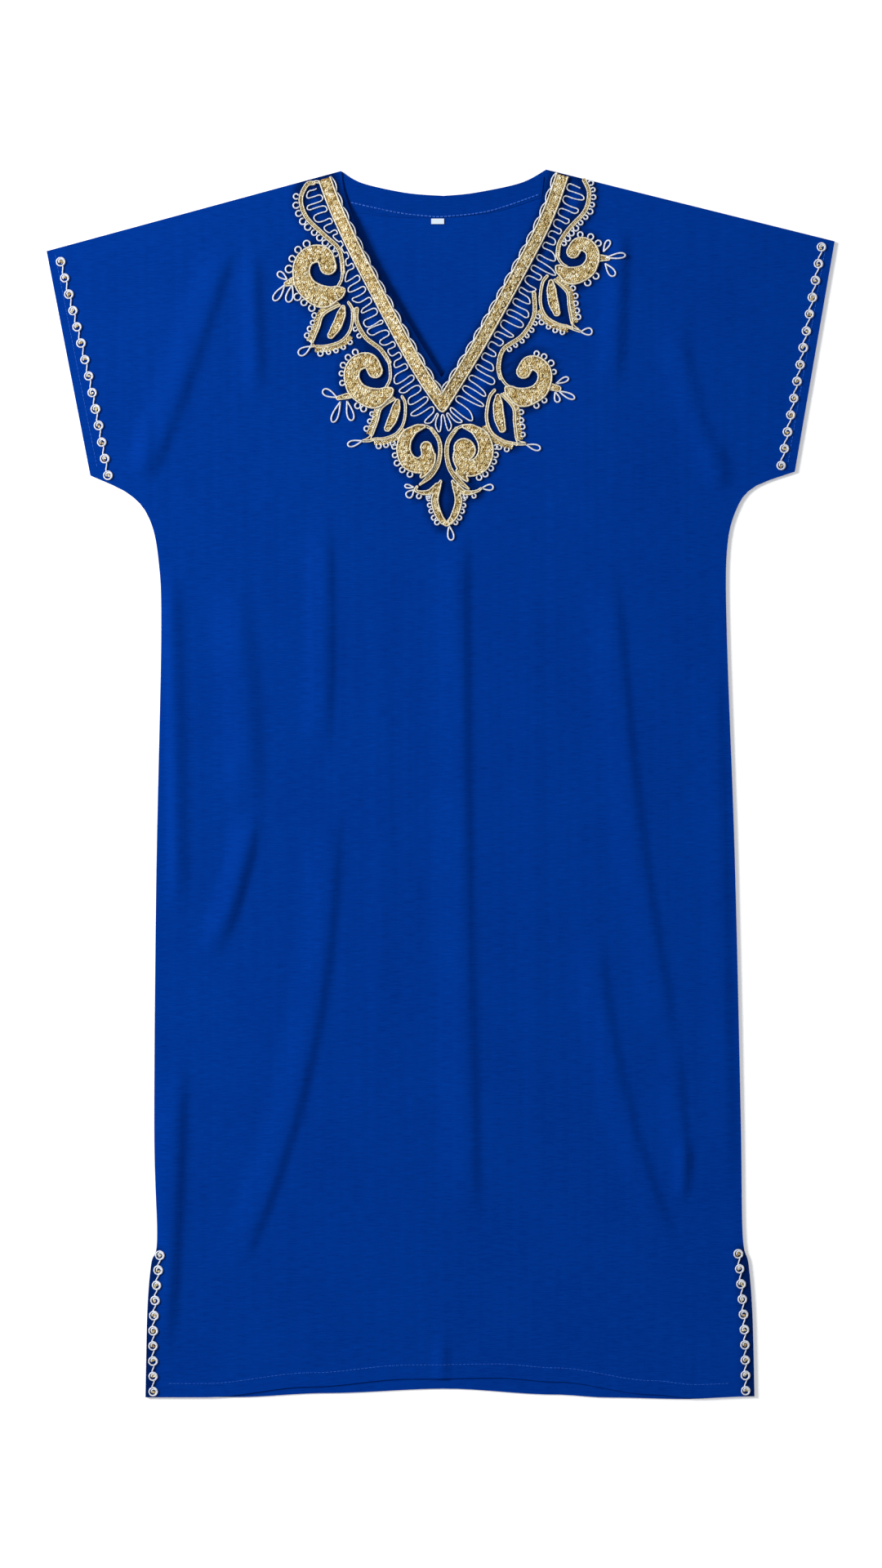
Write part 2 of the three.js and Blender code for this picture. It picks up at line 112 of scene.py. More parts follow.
def colourRamp(tree, fac, stops):
    ramp = addNode(tree, "ShaderNodeValToRGB", {}, {"Fac": fac})
    elements = ramp.color_ramp.elements
    while len(elements) < len(stops):
        elements.new(0.5)
    for element, (position, hexColour) in zip(elements, stops):
        element.position = position
        element.color = linear(hexColour)
    return ramp.outputs["Color"]


# Crepe tones. The last entry is the strength of the painted shade that darkens the cloth near the
# stitching
crepe = {
    "dark": "002b7f", "main": "003188", "light": "003691", "mottle": 90,
    "slub": (13, 1.1), "slubRise": 0.1, "crinkle": (34, 8), "crinkleRise": 0.6,
    "drag": (14, 260), "dragRise": 0.52, "paintedShade": 0.62,
}


# Noise drawn out to so many millimetres across and down
def stretchedNoise(tree, place, size, detail):
    scale = (1 / (size[0] * mm), 1 / (size[1] * mm), 1)
    stretched = addNode(tree, "ShaderNodeMapping", {"Scale": scale}, {"Vector": place})
    noise = addNode(tree, "ShaderNodeTexNoise", {"Scale": 1, "Detail": detail, "Roughness": 0.6},
                    {"Vector": stretched.outputs["Vector"]})
    return noise.outputs["Fac"]


# Polyester crepe, woven from crimped yarn: matt, with short crosswise slubs that catch the light,
# small crosswise crinkles, and faint drag lines down the length from hanging
def crepeMaterial():
    material, tree, shader = newMaterial("slubbed crepe", {
        "Roughness": 0.75, "Specular IOR Level": 0.01,
        "Sheen Weight": 0.08, "Sheen Roughness": 0.4, "Sheen Tint": linear("0a46d8"),
    })
    place = addNode(tree, "ShaderNodeTexCoord").outputs["Object"]
    slubs = stretchedNoise(tree, place, crepe["slub"], 3)
    mottle = addNode(tree, "ShaderNodeTexNoise", {"Scale": 1 / (crepe["mottle"] * mm), "Detail": 4},
                     {"Vector": place})
    mixed = addNode(tree, "ShaderNodeMath", {"operation": "MULTIPLY_ADD", 1: 0.3},
                    {0: mottle.outputs["Fac"], 2: slubs})
    tone = colourRamp(tree, mixed.outputs["Value"],
                      [(0.45, crepe["dark"]), (0.66, crepe["main"]), (0.9, crepe["light"])])
    # Painted shade: this attribute darkens the cloth's colour where the raised stitching would shade it,
    # near the dense embroidery and beside the slit trims; the facing gets a little of it all over
    near = addNode(tree, "ShaderNodeAttribute", {"attribute_name": "paintedShade"})
    left = addNode(tree, "ShaderNodeMath", {"operation": "MULTIPLY_ADD", 1: -crepe["paintedShade"], 2: 1},
                   {0: near.outputs["Fac"]})
    shaded = addNode(tree, "ShaderNodeVectorMath", {"operation": "SCALE"},
                     {0: tone, "Scale": left.outputs["Value"]})
    tree.links.new(shaded.outputs["Vector"], shader.inputs["Base Color"])
    normal = None
    for height, rise in ((stretchedNoise(tree, place, crepe["drag"], 1), "dragRise"),
                         (stretchedNoise(tree, place, crepe["crinkle"], 2), "crinkleRise"),
                         (slubs, "slubRise")):
        bump = addNode(tree, "ShaderNodeBump", {"Strength": 1, "Distance": crepe[rise] * mm},
                       {"Height": height})
        if normal:
            tree.links.new(normal, bump.inputs["Normal"])
        normal = bump.outputs["Normal"]
    tree.links.new(normal, shader.inputs["Normal"])
    return material


# A material whose tones follow one pattern on its piece
def tonedMaterial(name, settings, kind, pattern, stops):
    material, tree, shader = newMaterial(name, settings)
    place = addNode(tree, "ShaderNodeTexCoord").outputs["Object"]
    node = addNode(tree, kind, pattern, {"Vector": place})
    tree.links.new(colourRamp(tree, node.outputs["Fac"], stops), shader.inputs["Base Color"])
    return material


# Metallised polyester thread over a yellow core: soft metal gloss, its tone varying at random; its lit,
# sunk and shaded copies are painted highlight and painted shade
def goldMaterial(name, dark, main, bright):
    return tonedMaterial(name, {"Roughness": 0.42, "Metallic": 0.25},
                         "ShaderNodeTexNoise", {"Scale": 1 / (4 * mm), "Detail": 3},
                         [(0.32, dark), (0.5, main), (0.68, bright)])


# Couched viscose cord: smooth, with a soft shine along each ply
def cordMaterial(name, dark, bright, gloss=0.5):
    return tonedMaterial(name, {"Roughness": 0.45, "Specular IOR Level": gloss,
                                "Sheen Weight": 0.4 * gloss},
                         "ShaderNodeTexNoise", {"Scale": 1 / (1.6 * mm), "Detail": 2},
                         [(0.35, dark), (0.6, bright)])


# Bleached cotton tape: matt white, with its weave drawn coarse enough to show
def labelMaterial():
    return tonedMaterial("white cotton tape", {"Roughness": 0.8},
                         "ShaderNodeTexWave", {"Scale": 1 / (2.2 * mm)},
                         [(0.0, "bccbd8"), (1.0, "dce8f2")])


# Opal acrylic light table: matt, white, and lit a little from below
def floorMaterial():
    return newMaterial("opal acrylic light table", {
        "Base Color": linear("fbfbfb"), "Roughness": 0.9, "Specular IOR Level": 0.1,
        "Emission Color": linear("ffffff"), "Emission Strength": light["floorGlow"],
    })[0]


materials = {
    "crepe": crepeMaterial(),
    "gold": goldMaterial("gold metallised thread", "b0965a", "d8c48e", "ecdfb6"),
    # The brighter and the darker copies of the gold are a painted highlight and a painted shade for
    # loops that would catch the light or sit in shade; the gold in shade under the loops is painted
    # shade for the pits between them
    "goldBright": goldMaterial("gold metallised thread, painted highlight", "e4d6ac", "f2e9cc", "f8f2e2"),
    "goldDeep": goldMaterial("gold metallised thread, painted shade", "907236", "b79652", "d2b470"),
    "goldShade": goldMaterial("gold thread in shade", "4a3717", "7a602e", "9a7d40"),
    "paleCord": cordMaterial("champagne viscose cord", "bfb394", "e6dec8"),
    "paleThread": cordMaterial("silvery champagne thread", "b7bcc8", "dfe2ea"),
    "blueThread": cordMaterial("blue sewing thread", "1e50b4", "3a70d4", 0.02),
    "label": labelMaterial(),
}


# Small tools for places and curves
def smooth(t):
    s = min(1, max(0, t))
    return s * s * (3 - 2 * s)


def mix(a, b, t):
    return a + (b - a) * t


def toScene(x, down, up):
    return Vector((x * mm, (garment["length"] / 2 - down) * mm, up * mm))


# The point at share t of a smooth curve through places
def curvePoint(places, t):
    last = len(places) - 1
    at = min(max(t, 0) * last, last - 1e-9)
    i = int(at)
    f = at - i
    near = [places[max(0, min(last, i + k))] for k in (-1, 0, 1, 2)]
    point = []
    for a, b, c, d in zip(*(p[:2] for p in near)):
        leave, arrive = (c - a) / 2, (d - b) / 2
        point.append((2 * b - 2 * c + leave + arrive) * f ** 3
                     + (3 * c - 3 * b - 2 * leave - arrive) * f ** 2 + leave * f + b)
    return point


def curvePoints(places, count):
    return [curvePoint(places, i / count) for i in range(count + 1)]


# The same line with its points at even distances
def evenly(points, spacing):
    points = np.array(points, float)
    steps = np.linalg.norm(np.diff(points, axis=0), axis=1)
    far = np.concatenate([[0], np.cumsum(steps)])
    count = max(2, round(far[-1] / spacing))
    at = np.linspace(0, far[-1], count + 1)
    return np.stack([np.interp(at, far, points[:, k]) for k in range(points.shape[1])], axis=1)


def lineLength(points):
    return float(np.linalg.norm(np.diff(np.array(points, float), axis=0), axis=1).sum())


# Unit normals of a flat line, to its left when the line is walked in the (x, down) plane
def lineNormals(points):
    points = np.array(points, float)[:, :2]
    ahead = np.gradient(points, axis=0)
    ahead /= np.maximum(np.linalg.norm(ahead, axis=1, keepdims=True), 1e-9)
    return np.stack([ahead[:, 1], -ahead[:, 0]], axis=1)


# The normals of a line turned so that they point away from a place
def normalsAwayFrom(line, centre, ends=0):
    normals = lineNormals(line)
    inner = slice(ends, len(line) - ends)
    return normals if np.sum(normals[inner] * (line[inner, :2] - centre)) >= 0 else -normals


# The cut of the cloth
cut = {
    # x, down from the hem corner up to the lower corner of the cuff
    "leftSide": [(-300, 1248), (-298, 1160), (-294, 1112), (-288, 1086), (-291, 973), (-289, 720),
                 (-284, 475), (-287, 395), (-297, 353), (-318, 329), (-356, 311)],
    "rightSide": [(319, 1247), (317, 1165), (313, 1113), (307, 1082), (305, 960), (299, 700),
                  (291, 475), (291, 388), (300, 347), (318, 323), (360, 307)],
    "leftSleeveTip": (-400.5, 83), "rightSleeveTip": (400.5, 73),
    "vLeft": [(1, 212), (-42, 141), (-76, 79), (-96, 30), (-101, 1.5)],
    "vRight": [(1, 212), (48, 141), (82, 77), (102, 32), (107, 0)],
    "backNeckLeft": [(3, 26.5), (-35, 23.5), (-80, 13.5), (-101, 1.5)],
    "backNeckRight": [(3, 26.5), (34, 23.5), (81, 13.5), (107, 0)],
    "frontHem": [(-300, 1248), (-240, 1248), (-132, 1237), (-31, 1229), (58, 1228), (117, 1232),
                 (216, 1245), (258, 1249), (319, 1247)],
    "backHem": [(-300, 1248), (-207, 1248), (-117, 1244), (5, 1239.5), (117, 1245.5), (170, 1248.5),
                (249, 1250), (319, 1247)],
    "middleAtArmhole": 330, "hemEase": 90, "shell": 0.8,
    "rows": {"skirt": 150, "armhole": 20, "cuff": 40}, "columns": {"front": 72, "back": 24},
    "backRows": 105,
}

# Soft folds of the front: x at three places down, the places, flank widths, height, fade at the ends
folds = [
    ((20, 23, 32), (350, 640, 1080), 38, 13, 3.2, 70),
    ((-119, -116, -121), (345, 470, 600), 28, 12, 2.8, 60),
    ((-112, -128, -212), (640, 860, 1130), 34, 14, 3.2, 80),
    ((-190, -206, -236), (650, 728, 805), 26, 12, 4.2, 40),
    ((-212, -198, -194), (400, 550, 672), 34, 22, 3, 80),
    ((-212, -250, -303), (70, 185, 326), 36, 12, 3.2, 40),
    ((-297, -299, -301), (246, 284, 318), 16, 9, 1.8, 24),
    ((279, 284, 287), (268, 300, 332), 20, 9, 3.0, 24),
    ((-190, -188, -186), (74, 150, 238), 20, 11, 3.2, 40),
    ((184, 181, 176), (50, 140, 228), 24, 11, 3.2, 40),
    ((236, 256, 284), (146, 230, 328), 26, 12, 2.4, 45),
    ((174, 196, 238), (395, 640, 905), 34, 12, 2.7, 80),
    ((236, 243, 252), (880, 960, 1045), 26, 11, 2, 50),
    ((158, 181, 240), (765, 930, 1105), 30, 13, 2.5, 60),
    ((249, 247, 245), (980, 1018, 1056), 12, 9, 2.6, 25),
    ((1, 2, 3), (1176, 1212, 1246), 14, 9, 2, 28),
    ((-275, -271, -268), (395, 560, 760), 12, 17, 3, 60),
    ((-266, -272, -281), (890, 1060, 1215), 30, 14, 4.2, 80),
    ((279, 287, 294), (480, 760, 1050), 30, 10, 1.6, 80),
    ((-60, -58, -62), (400, 640, 930), 18, 15, 0.5, 90),
    ((92, 95, 102), (400, 700, 1060), 22, 16, 0.5, 90),
]


def throughThree(down, downs, xs):
    (a, b, c), (p, q, r) = downs, xs
    return (p * (down - b) * (down - c) / ((a - b) * (a - c))
            + q * (down - a) * (down - c) / ((b - a) * (b - c))
            + r * (down - a) * (down - b) / ((c - a) * (c - b)))


def foldHeight(x, down):
    height = 0
    for xs, downs, left, right, high, fade in folds:
        if not downs[0] < down < downs[2]:
            continue
        off = x - throughThree(down, downs, xs)
        flank = left if off < 0 else right
        if abs(off) < flank:
            ends = smooth((down - downs[0]) / fade) * smooth((downs[2] - down) / fade)
            height += high * ends * 0.5 * (1 + math.cos(math.pi * off / flank))
    return height


# The cut edge of the neck stands off the back: it rises to a soft roll and dips again at the edge
neckRoll = {"left": 6.4, "right": 3.0, "wide": 25, "peak": 4, "edge": 0.72, "start": 6, "full": 60,
            "slant": 0.85, "turnOver": 24}


# Where the cut edge runs: its x for each millimetre down to the tip
def neckEdge(places):
    xs, downs = np.array(curvePoints(places, 200))[::-1].T
    return np.interp(np.arange(places[0][1] + 1), downs, xs)


neckEdges = {"left": neckEdge(cut["vLeft"]), "right": neckEdge(cut["vRight"])}


def neckLift(x, down):
    tip = cut["vLeft"][0]
    if down < neckRoll["start"] or down > tip[1] + neckRoll["wide"]:
        return 0
    hand = "left" if x < tip[0] else "right"
    if down < tip[1]:
        off = neckRoll["slant"] * abs(x - neckEdges[hand][int(down)])
    else:
        off = math.hypot(x - tip[0], down - tip[1])
    high = mix(neckRoll["left"], neckRoll["right"], smooth((x - tip[0]) / neckRoll["turnOver"] + 0.5))
    start = smooth((down - neckRoll["start"]) / neckRoll["full"])
    peak = neckRoll["peak"]
    if off < peak:
        return high * start * mix(neckRoll["edge"], 1, smooth(off / peak))
    return high * start * (1 - smooth((off - peak) / (neckRoll["wide"] - peak)))


def frontTop(x, down):
    return frontFlat + foldHeight(x, down) + neckLift(x, down)


def hemDown(hem, x):
    for (ax, aDown), (bx, bDown) in zip(hem, hem[1:]):
        if x <= bx:
            return mix(aDown, bDown, smooth((x - ax) / (bx - ax)))
    return hem[-1][1]


# One half of a panel: u runs from the side to the middle, v from the hem to the shoulder
def halfPanel(u, v, side, tip, neck, hem):
    rows = cut["rows"]
    total = sum(rows.values())
    row = v * total
    middle = neck[0]
    armpit = (len(side) - 4) / (len(side) - 1)
    if row <= rows["skirt"]:
        t = row / rows["skirt"]
        outer = curvePoint(side, armpit * t)
        inner = (middle[0], mix(hemDown(hem, middle[0]), cut["middleAtArmhole"], t))
    elif row <= rows["skirt"] + rows["armhole"]:
        t = (row - rows["skirt"]) / rows["armhole"]
        outer = curvePoint(side, mix(armpit, 1, t))
        inner = (middle[0], mix(cut["middleAtArmhole"], middle[1], t))
    else:
        t = (row - rows["skirt"] - rows["armhole"]) / rows["cuff"]
        corner = side[-1]
        outer = (mix(corner[0], tip[0], t), mix(corner[1], tip[1], t))
        inner = curvePoint(neck, t)
    x, down = mix(outer[0], inner[0], u), mix(outer[1], inner[1], u)
    straightHem = mix(side[0][1], hemDown(hem, middle[0]), u)
    ease = 1 - smooth((straightHem - down) / cut["hemEase"])
    return x, down + ease * (hemDown(hem, x) - straightHem)


def selectOnly(*pieces):
    bpy.ops.object.select_all(action="DESELECT")
    for piece in pieces:
        piece.select_set(True)
    if pieces:
        bpy.context.view_layer.objects.active = pieces[0]


# A grid whose points are put where shape(u, v) says
def formGrid(name, columns, rows, shape):
    selectOnly()
    bpy.ops.mesh.primitive_grid_add(x_subdivisions=columns, y_subdivisions=rows, size=1)
    piece = bpy.context.object
    piece.name = piece.data.name = name
    for vertex in piece.data.vertices:
        vertex.co = shape(vertex.co.x + 0.5, vertex.co.y + 0.5)
    return piece


def joinPieces(name, pieces):
    selectOnly(*pieces)
    bpy.ops.object.join()
    pieces[0].name = pieces[0].data.name = name
    return pieces[0]


def mergeAndFaceOut(piece, mergeDistance=0.01):
    selectOnly(piece)
    bpy.ops.object.mode_set(mode="EDIT")
    bpy.ops.mesh.select_all(action="SELECT")
    bpy.ops.mesh.remove_doubles(threshold=mergeDistance * mm)
    bpy.ops.mesh.normals_make_consistent(inside=False)
    bpy.ops.object.mode_set(mode="OBJECT")


# An open sheet's faces all point up before it gets its wall
def giveWall(piece, thickness):
    if sum(p.normal.z for p in piece.data.polygons) < 0:
        piece.data.flip_normals()
    wall = piece.modifiers.new("wall", "SOLIDIFY")
    wall.thickness = thickness * mm
    wall.offset = -1
    bpy.context.view_layer.objects.active = piece
    bpy.ops.object.modifier_apply(modifier="wall")


def finishPiece(piece, material, angle=60):
    selectOnly(piece)
    bpy.ops.object.shade_smooth_by_angle(angle=math.radians(angle))
    piece.data.materials.clear()
    piece.data.materials.append(materials[material])
    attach(piece, "root")
    return piece


def panelPiece(name, hem, necks, thickness, top, columns, rows):
    halves = []
    for side, tip, neck, mirrored in (("leftSide", "leftSleeveTip", necks[0], False),
                                      ("rightSide", "rightSleeveTip", necks[1], True)):
        def shape(u, v):
            across = 1 - u if mirrored else u
            x, down = halfPanel(across, v, cut[side], cut[tip], neck, hem)
            return toScene(x, down, top(x, down))
        halves.append(formGrid(name + side, columns, rows, shape))
    piece = joinPieces(name, halves)
    mergeAndFaceOut(piece)
    giveWall(piece, thickness)
    return finishPiece(piece, "crepe")


setUpView()
print("view set up")

selectOnly()
bpy.ops.mesh.primitive_plane_add(size=6, location=(0, 0, -0.0002))
floor = bpy.context.object
floor.name = "floor"
floor.data.materials.append(floorMaterial())

backPanel = panelPiece("back_cloth", cut["backHem"], (cut["backNeckLeft"], cut["backNeckRight"]),
                       garment["wall"], lambda x, down: garment["wall"],
                       cut["columns"]["back"], cut["backRows"])
frontPanel = panelPiece("front_cloth", cut["frontHem"], (cut["vLeft"], cut["vRight"]),
                        cut["shell"], frontTop, cut["columns"]["front"], sum(cut["rows"].values()))
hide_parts("back_panel")
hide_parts("front_panel")
print("panels made")


# Facing and label inside the back neck
facing = {
    "top": [(-99, 8), (-80, 14.5), (-35, 24.5), (3, 27.5), (34, 24.5), (81, 14.5), (105, 7)],
    "low": [(-90, 43), (-50, 48), (-10, 49), (34, 46), (65, 40.5), (103, 28)],
    "rise": 0.35, "wall": 0.25, "pressed": 0.12, "shade": 0.13,
}
label = {"x": -3, "down": 52.6, "wide": 13, "tall": 5.5, "thick": 0.5}


# How much painted shade darkens the cloth at each vertex, for the crepe material
def writeShade(piece, shades):
    layer = piece.data.attributes.new("paintedShade", "FLOAT", "POINT")
    layer.data.foreach_set("value", np.asarray(shades, np.float32))


def facingPiece():
    def shape(u, v):
        low, top = curvePoint(facing["low"], u), curvePoint(facing["top"], u)
        x, down = mix(low[0], top[0], v), mix(low[1], top[1], v)
        return toScene(x, down, frontRest + mix(facing["pressed"], facing["rise"], smooth(v * 6)))
    piece = formGrid("back_neck_facing_cloth", 60, 24, shape)
    giveWall(piece, facing["wall"])
    finishPiece(piece, "crepe")
    # The facing is drawn a little darker all over with the same painted shade
    writeShade(piece, np.full(len(piece.data.vertices), facing["shade"]))
    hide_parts("back_neck_facing")
    return piece


def labelPiece():
    def shape(u, v):
        x = label["x"] + (u - 0.5) * label["wide"]
        down = label["down"] - (v - 0.5) * label["tall"]
        return toScene(x, down, frontRest + label["thick"] + 0.3 * (1 - v) ** 2)
    piece = formGrid("blank_label", 10, 5, shape)
    giveWall(piece, label["thick"])
    finishPiece(piece, "label")
    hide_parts("neck_label")
    return piece


facingCloth = facingPiece()
blankLabel = labelPiece()
print("facing and label made")


# Embroidery. Every line is worked in (x, down) and laid on the front, folds and all
# In the thread table, bright and sunk set which loops get the painted highlight and which the painted
# shade
thread = {
    "outline": 1.0, "fine": 0.85, "thin": 0.76, "picot": 0.82, "seam": 0.4,
    "padLoss": 0.75, "knotPitch": 2.3, "knotJitter": 0.45, "leftOut": 0.06, "plyPitch": 3.4,
    "bright": 0.22, "sunk": 0.84, "picotOverlap": 0.8, "picotRoom": 0.8,
}
raised = {"scroll": 2.6, "band": 2.2, "leaf": 2.2, "border": 1.7}
chance = random.Random(21)
spread = np.random.default_rng(21)


def lay(line, lift):
    line = np.array(line, float)
    up = np.array([frontTop(x, down) for x, down in line[:, :2]]) + lift
    return np.stack([line[:, 0], garment["length"] / 2 - line[:, 1], up], axis=1)


# Turns a closed mesh's faces outwards: inside out, its volume comes out negative
def facedOut(places, faces):
    a, b, c, d = (places[faces[:, n]] for n in range(4))
    volume = np.sum(a * np.cross(b, c)) + np.sum(a * np.cross(c, d))
    return places, faces if volume > 0 else faces[:, ::-1]


# The four-sided faces between rings of so many points
def wallFaces(count, sides, closed=False):
    k = np.arange(sides)[None, :]
    here = np.arange(count if closed else count - 1)[:, None]
    there, after = (here + 1) % count * sides, (k + 1) % sides
    here = here * sides
    return np.stack([here + k, here + after, there + after, there + k], axis=2).reshape(-1, 4)


# A round or two-ply thread along laid points, as places and faces. Its sides are even in number, so
# that its ends close with four-sided faces
def threadMesh(points, radius, sides=6, ply=0.0, closed=False):
    if closed:
        ahead = np.roll(points, -1, axis=0) - np.roll(points, 1, axis=0)
    else:
        ahead = np.gradient(points, axis=0)
    ahead /= np.maximum(np.linalg.norm(ahead, axis=1, keepdims=True), 1e-9)
    across = np.cross(ahead, (0, 0, 1))
    across /= np.maximum(np.linalg.norm(across, axis=1, keepdims=True), 1e-9)
    up = np.cross(across, ahead)
    far = np.concatenate([[0], np.cumsum(np.linalg.norm(np.diff(points, axis=0), axis=1))])
    angle = np.arange(sides) * 2 * math.pi / sides
    turn = far[:, None] * math.pi / thread["plyPitch"]
    size = radius * (1 - ply * np.sin(angle[None, :] - turn) ** 2)
    ring = (points[:, None, :] + across[:, None, :] * (size * np.cos(angle))[:, :, None]
            + up[:, None, :] * (size * np.sin(angle))[:, :, None])
    count = len(points)
    faces = wallFaces(count, sides, closed)
    if not closed:
        cap = np.array([(0, n + 2, n + 1, n) for n in range(1, sides - 2, 2)])
        faces = np.concatenate([faces, cap, (count - 1) * sides + cap[:, ::-1]])
    return facedOut(ring.reshape(-1, 3), faces)


def combine(parts):
    places, faces, start = [], [], 0
    for part in parts:
        places.append(part[0])
        faces.append(part[1] + start)
        start += len(part[0])
    return np.concatenate(places), np.concatenate(faces)


# One piece from parts made of places in millimetres, each part with its own material
def sewnPiece(name, parts, replaced=()):
    parts = [(material, combine(made)) for material, made in parts.items() if made]
    places, faces = combine([made for _, made in parts])
    mesh = bpy.data.meshes.new(name)
    mesh.from_pydata((places * mm).tolist(), [], faces.tolist())
    which = np.concatenate([np.full(len(made[1]), i) for i, (_, made) in enumerate(parts)])
    mesh.polygons.foreach_set("material_index", which.astype(np.int32))
    for material, _ in parts:
        mesh.materials.append(materials[material])
    mesh.shade_smooth()
    mesh.update()
    piece = bpy.data.objects.new(name, mesh)
    bpy.context.scene.collection.objects.link(piece)
    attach(piece, "root")
    if replaced:
        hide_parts(*replaced)
    return piece


# The small loop that fills the gold shapes, modelled once
def knotShape():
    selectOnly()
    bpy.ops.mesh.primitive_torus_add(major_segments=8, minor_segments=5,
                                     major_radius=0.98, minor_radius=0.52)
    knot = bpy.context.object
    bpy.ops.object.mode_set(mode="EDIT")
    bpy.ops.mesh.select_all(action="SELECT")
    bpy.ops.transform.resize(value=(1.12, 0.9, 1))
    bpy.ops.transform.vertex_random(offset=0.05, seed=4)
    bpy.ops.object.mode_set(mode="OBJECT")
    places = np.array([v.co[:] for v in knot.data.vertices])
    faces = np.array([p.vertices[:] for p in knot.data.polygons])
    bpy.data.objects.remove(knot)
    return places, faces


knotPlaces, knotFaces = knotShape()


# Copies of the loop, each turned, tipped and sized on its own
def knotsAt(places, size=1.0):
    made = []
    for place in places:
        turn = Euler((chance.uniform(-0.5, 0.5), chance.uniform(-0.5, 0.5), chance.uniform(0, 6.3)))
        grown = size * chance.uniform(0.85, 1.15)
        made.append((knotPlaces @ np.array(turn.to_matrix()).T * grown + place, knotFaces))
    return made


# The loops shared out at random between plain gold, a painted-highlight copy and a painted-shade copy
def goldShares(knots):
    shares = {"gold": [], "goldBright": [], "goldDeep": []}
    for knot in knots:
        draw = chance.random()
        tone = "goldDeep" if draw > thread["sunk"] else "gold"
        shares["goldBright" if draw < thread["bright"] else tone].append(knot)
    return shares


def dome(out):
    return np.sqrt(np.maximum(0, 1 - out ** 4))


capCount = 5


# Centre line with widths, both ends rounded: x, down, wide
def ribbon(places, spacing=1.0):
    places = np.array(places, float)
    last = len(places) - 1
    steps = max(12, int(lineLength(places[:, :2]) * 1.1 / spacing))
    body = []
    for i in range(steps + 1):
        t = i / steps
        at = min(int(t * last), last - 1)
        wide = mix(places[at][2], places[at + 1][2], smooth(t * last - at))
        body.append((*curvePoint(places, t), wide))
    body = np.array(body)

    def cap(end, beside):
        away = end[:2] - beside[:2]
        away /= np.linalg.norm(away)
        return [(*(end[:2] + away * 0.5 * end[2] * math.sin(a)), end[2] * math.cos(a))
                for a in np.linspace(0.3, 1.5, capCount)]
    return np.concatenate([cap(body[0], body[1])[::-1], body, cap(body[-1], body[-2])])


# The round stations of one or more ribbons: their last full ones stand for the caps
def discs(*ribbons):
    return np.concatenate([r[capCount:-capCount] for r in ribbons])


# Distance of each point from the nearest round station's rim, and which station that is
def overlapDepth(points, stations):
    gap = np.linalg.norm(points[:, None, :] - stations[None, :, :2], axis=2)
    gap = gap - stations[None, :, 2] / 2
    return gap.min(axis=1), gap.argmin(axis=1)


# A padding's cross-section in shares of its half width: over the top, then back under
padProfile = {"over": [-1, -0.97, -0.8, -0.45, 0, 0.45, 0.8, 0.97, 1], "under": [0.5, 0, -0.5]}


# Solid padding under the loops, in the form of the solid it replaces
def padding(stations, high, bottom=0.15):
    outs = np.array(padProfile["over"] + padProfile["under"])
    ups = dome(outs) * (high - bottom)
    ups[len(padProfile["over"]):] = 0
    normals = lineNormals(stations)
    rings = []
    for (x, down, wide), (nx, nd) in zip(stations, normals):
        flat = np.stack([x + nx * outs * wide / 2, down + nd * outs * wide / 2], axis=1)
        rings.append(lay(flat, bottom + ups))
    places = np.concatenate(rings)
    count, sides = len(rings), len(outs)
    cap = np.array([(0, n, n + 1, n + 2) for n in range(1, sides - 2, 2)])
    faces = [wallFaces(count, sides), cap[:, ::-1], (count - 1) * sides + cap]
    return facedOut(places, np.concatenate(faces))


# The lowest and highest x and down that round stations reach
def stationReach(stations):
    half = stations[:, 2:] / 2
    return (stations[:, :2] - half).min(axis=0), (stations[:, :2] + half).max(axis=0)


# Loops scattered over a padded shape on a loose three-way grid
def filling(stations, high, edge=1.8, size=1.0, squareEnds=False):
    pitch = thread["knotPitch"]
    low, far = stationReach(stations)
    points = []
    down, odd = low[1], False
    while down < far[1]:
        x = low[0] + (pitch / 2 if odd else 0)
        while x < far[0]:
            points.append((x, down))
            x += pitch
        down, odd = down + pitch * 0.866, not odd
    points = np.array(points)
    points += spread.uniform(-thread["knotJitter"], thread["knotJitter"], points.shape)
    depth, near = overlapDepth(points, stations)
    keep = (depth < -edge) & (spread.random(len(points)) > thread["leftOut"])
    if squareEnds:
        keep &= (near > 0) & (near < len(stations) - 1)
    points, depth, near = points[keep], depth[keep], near[keep]
    if not len(points):
        return []
    half = stations[near, 2] / 2
    out = np.clip(1 + depth / np.maximum(half, 0.1), 0, 1)
    return knotsAt(lay(points, dome(out) * high + 0.1), size)


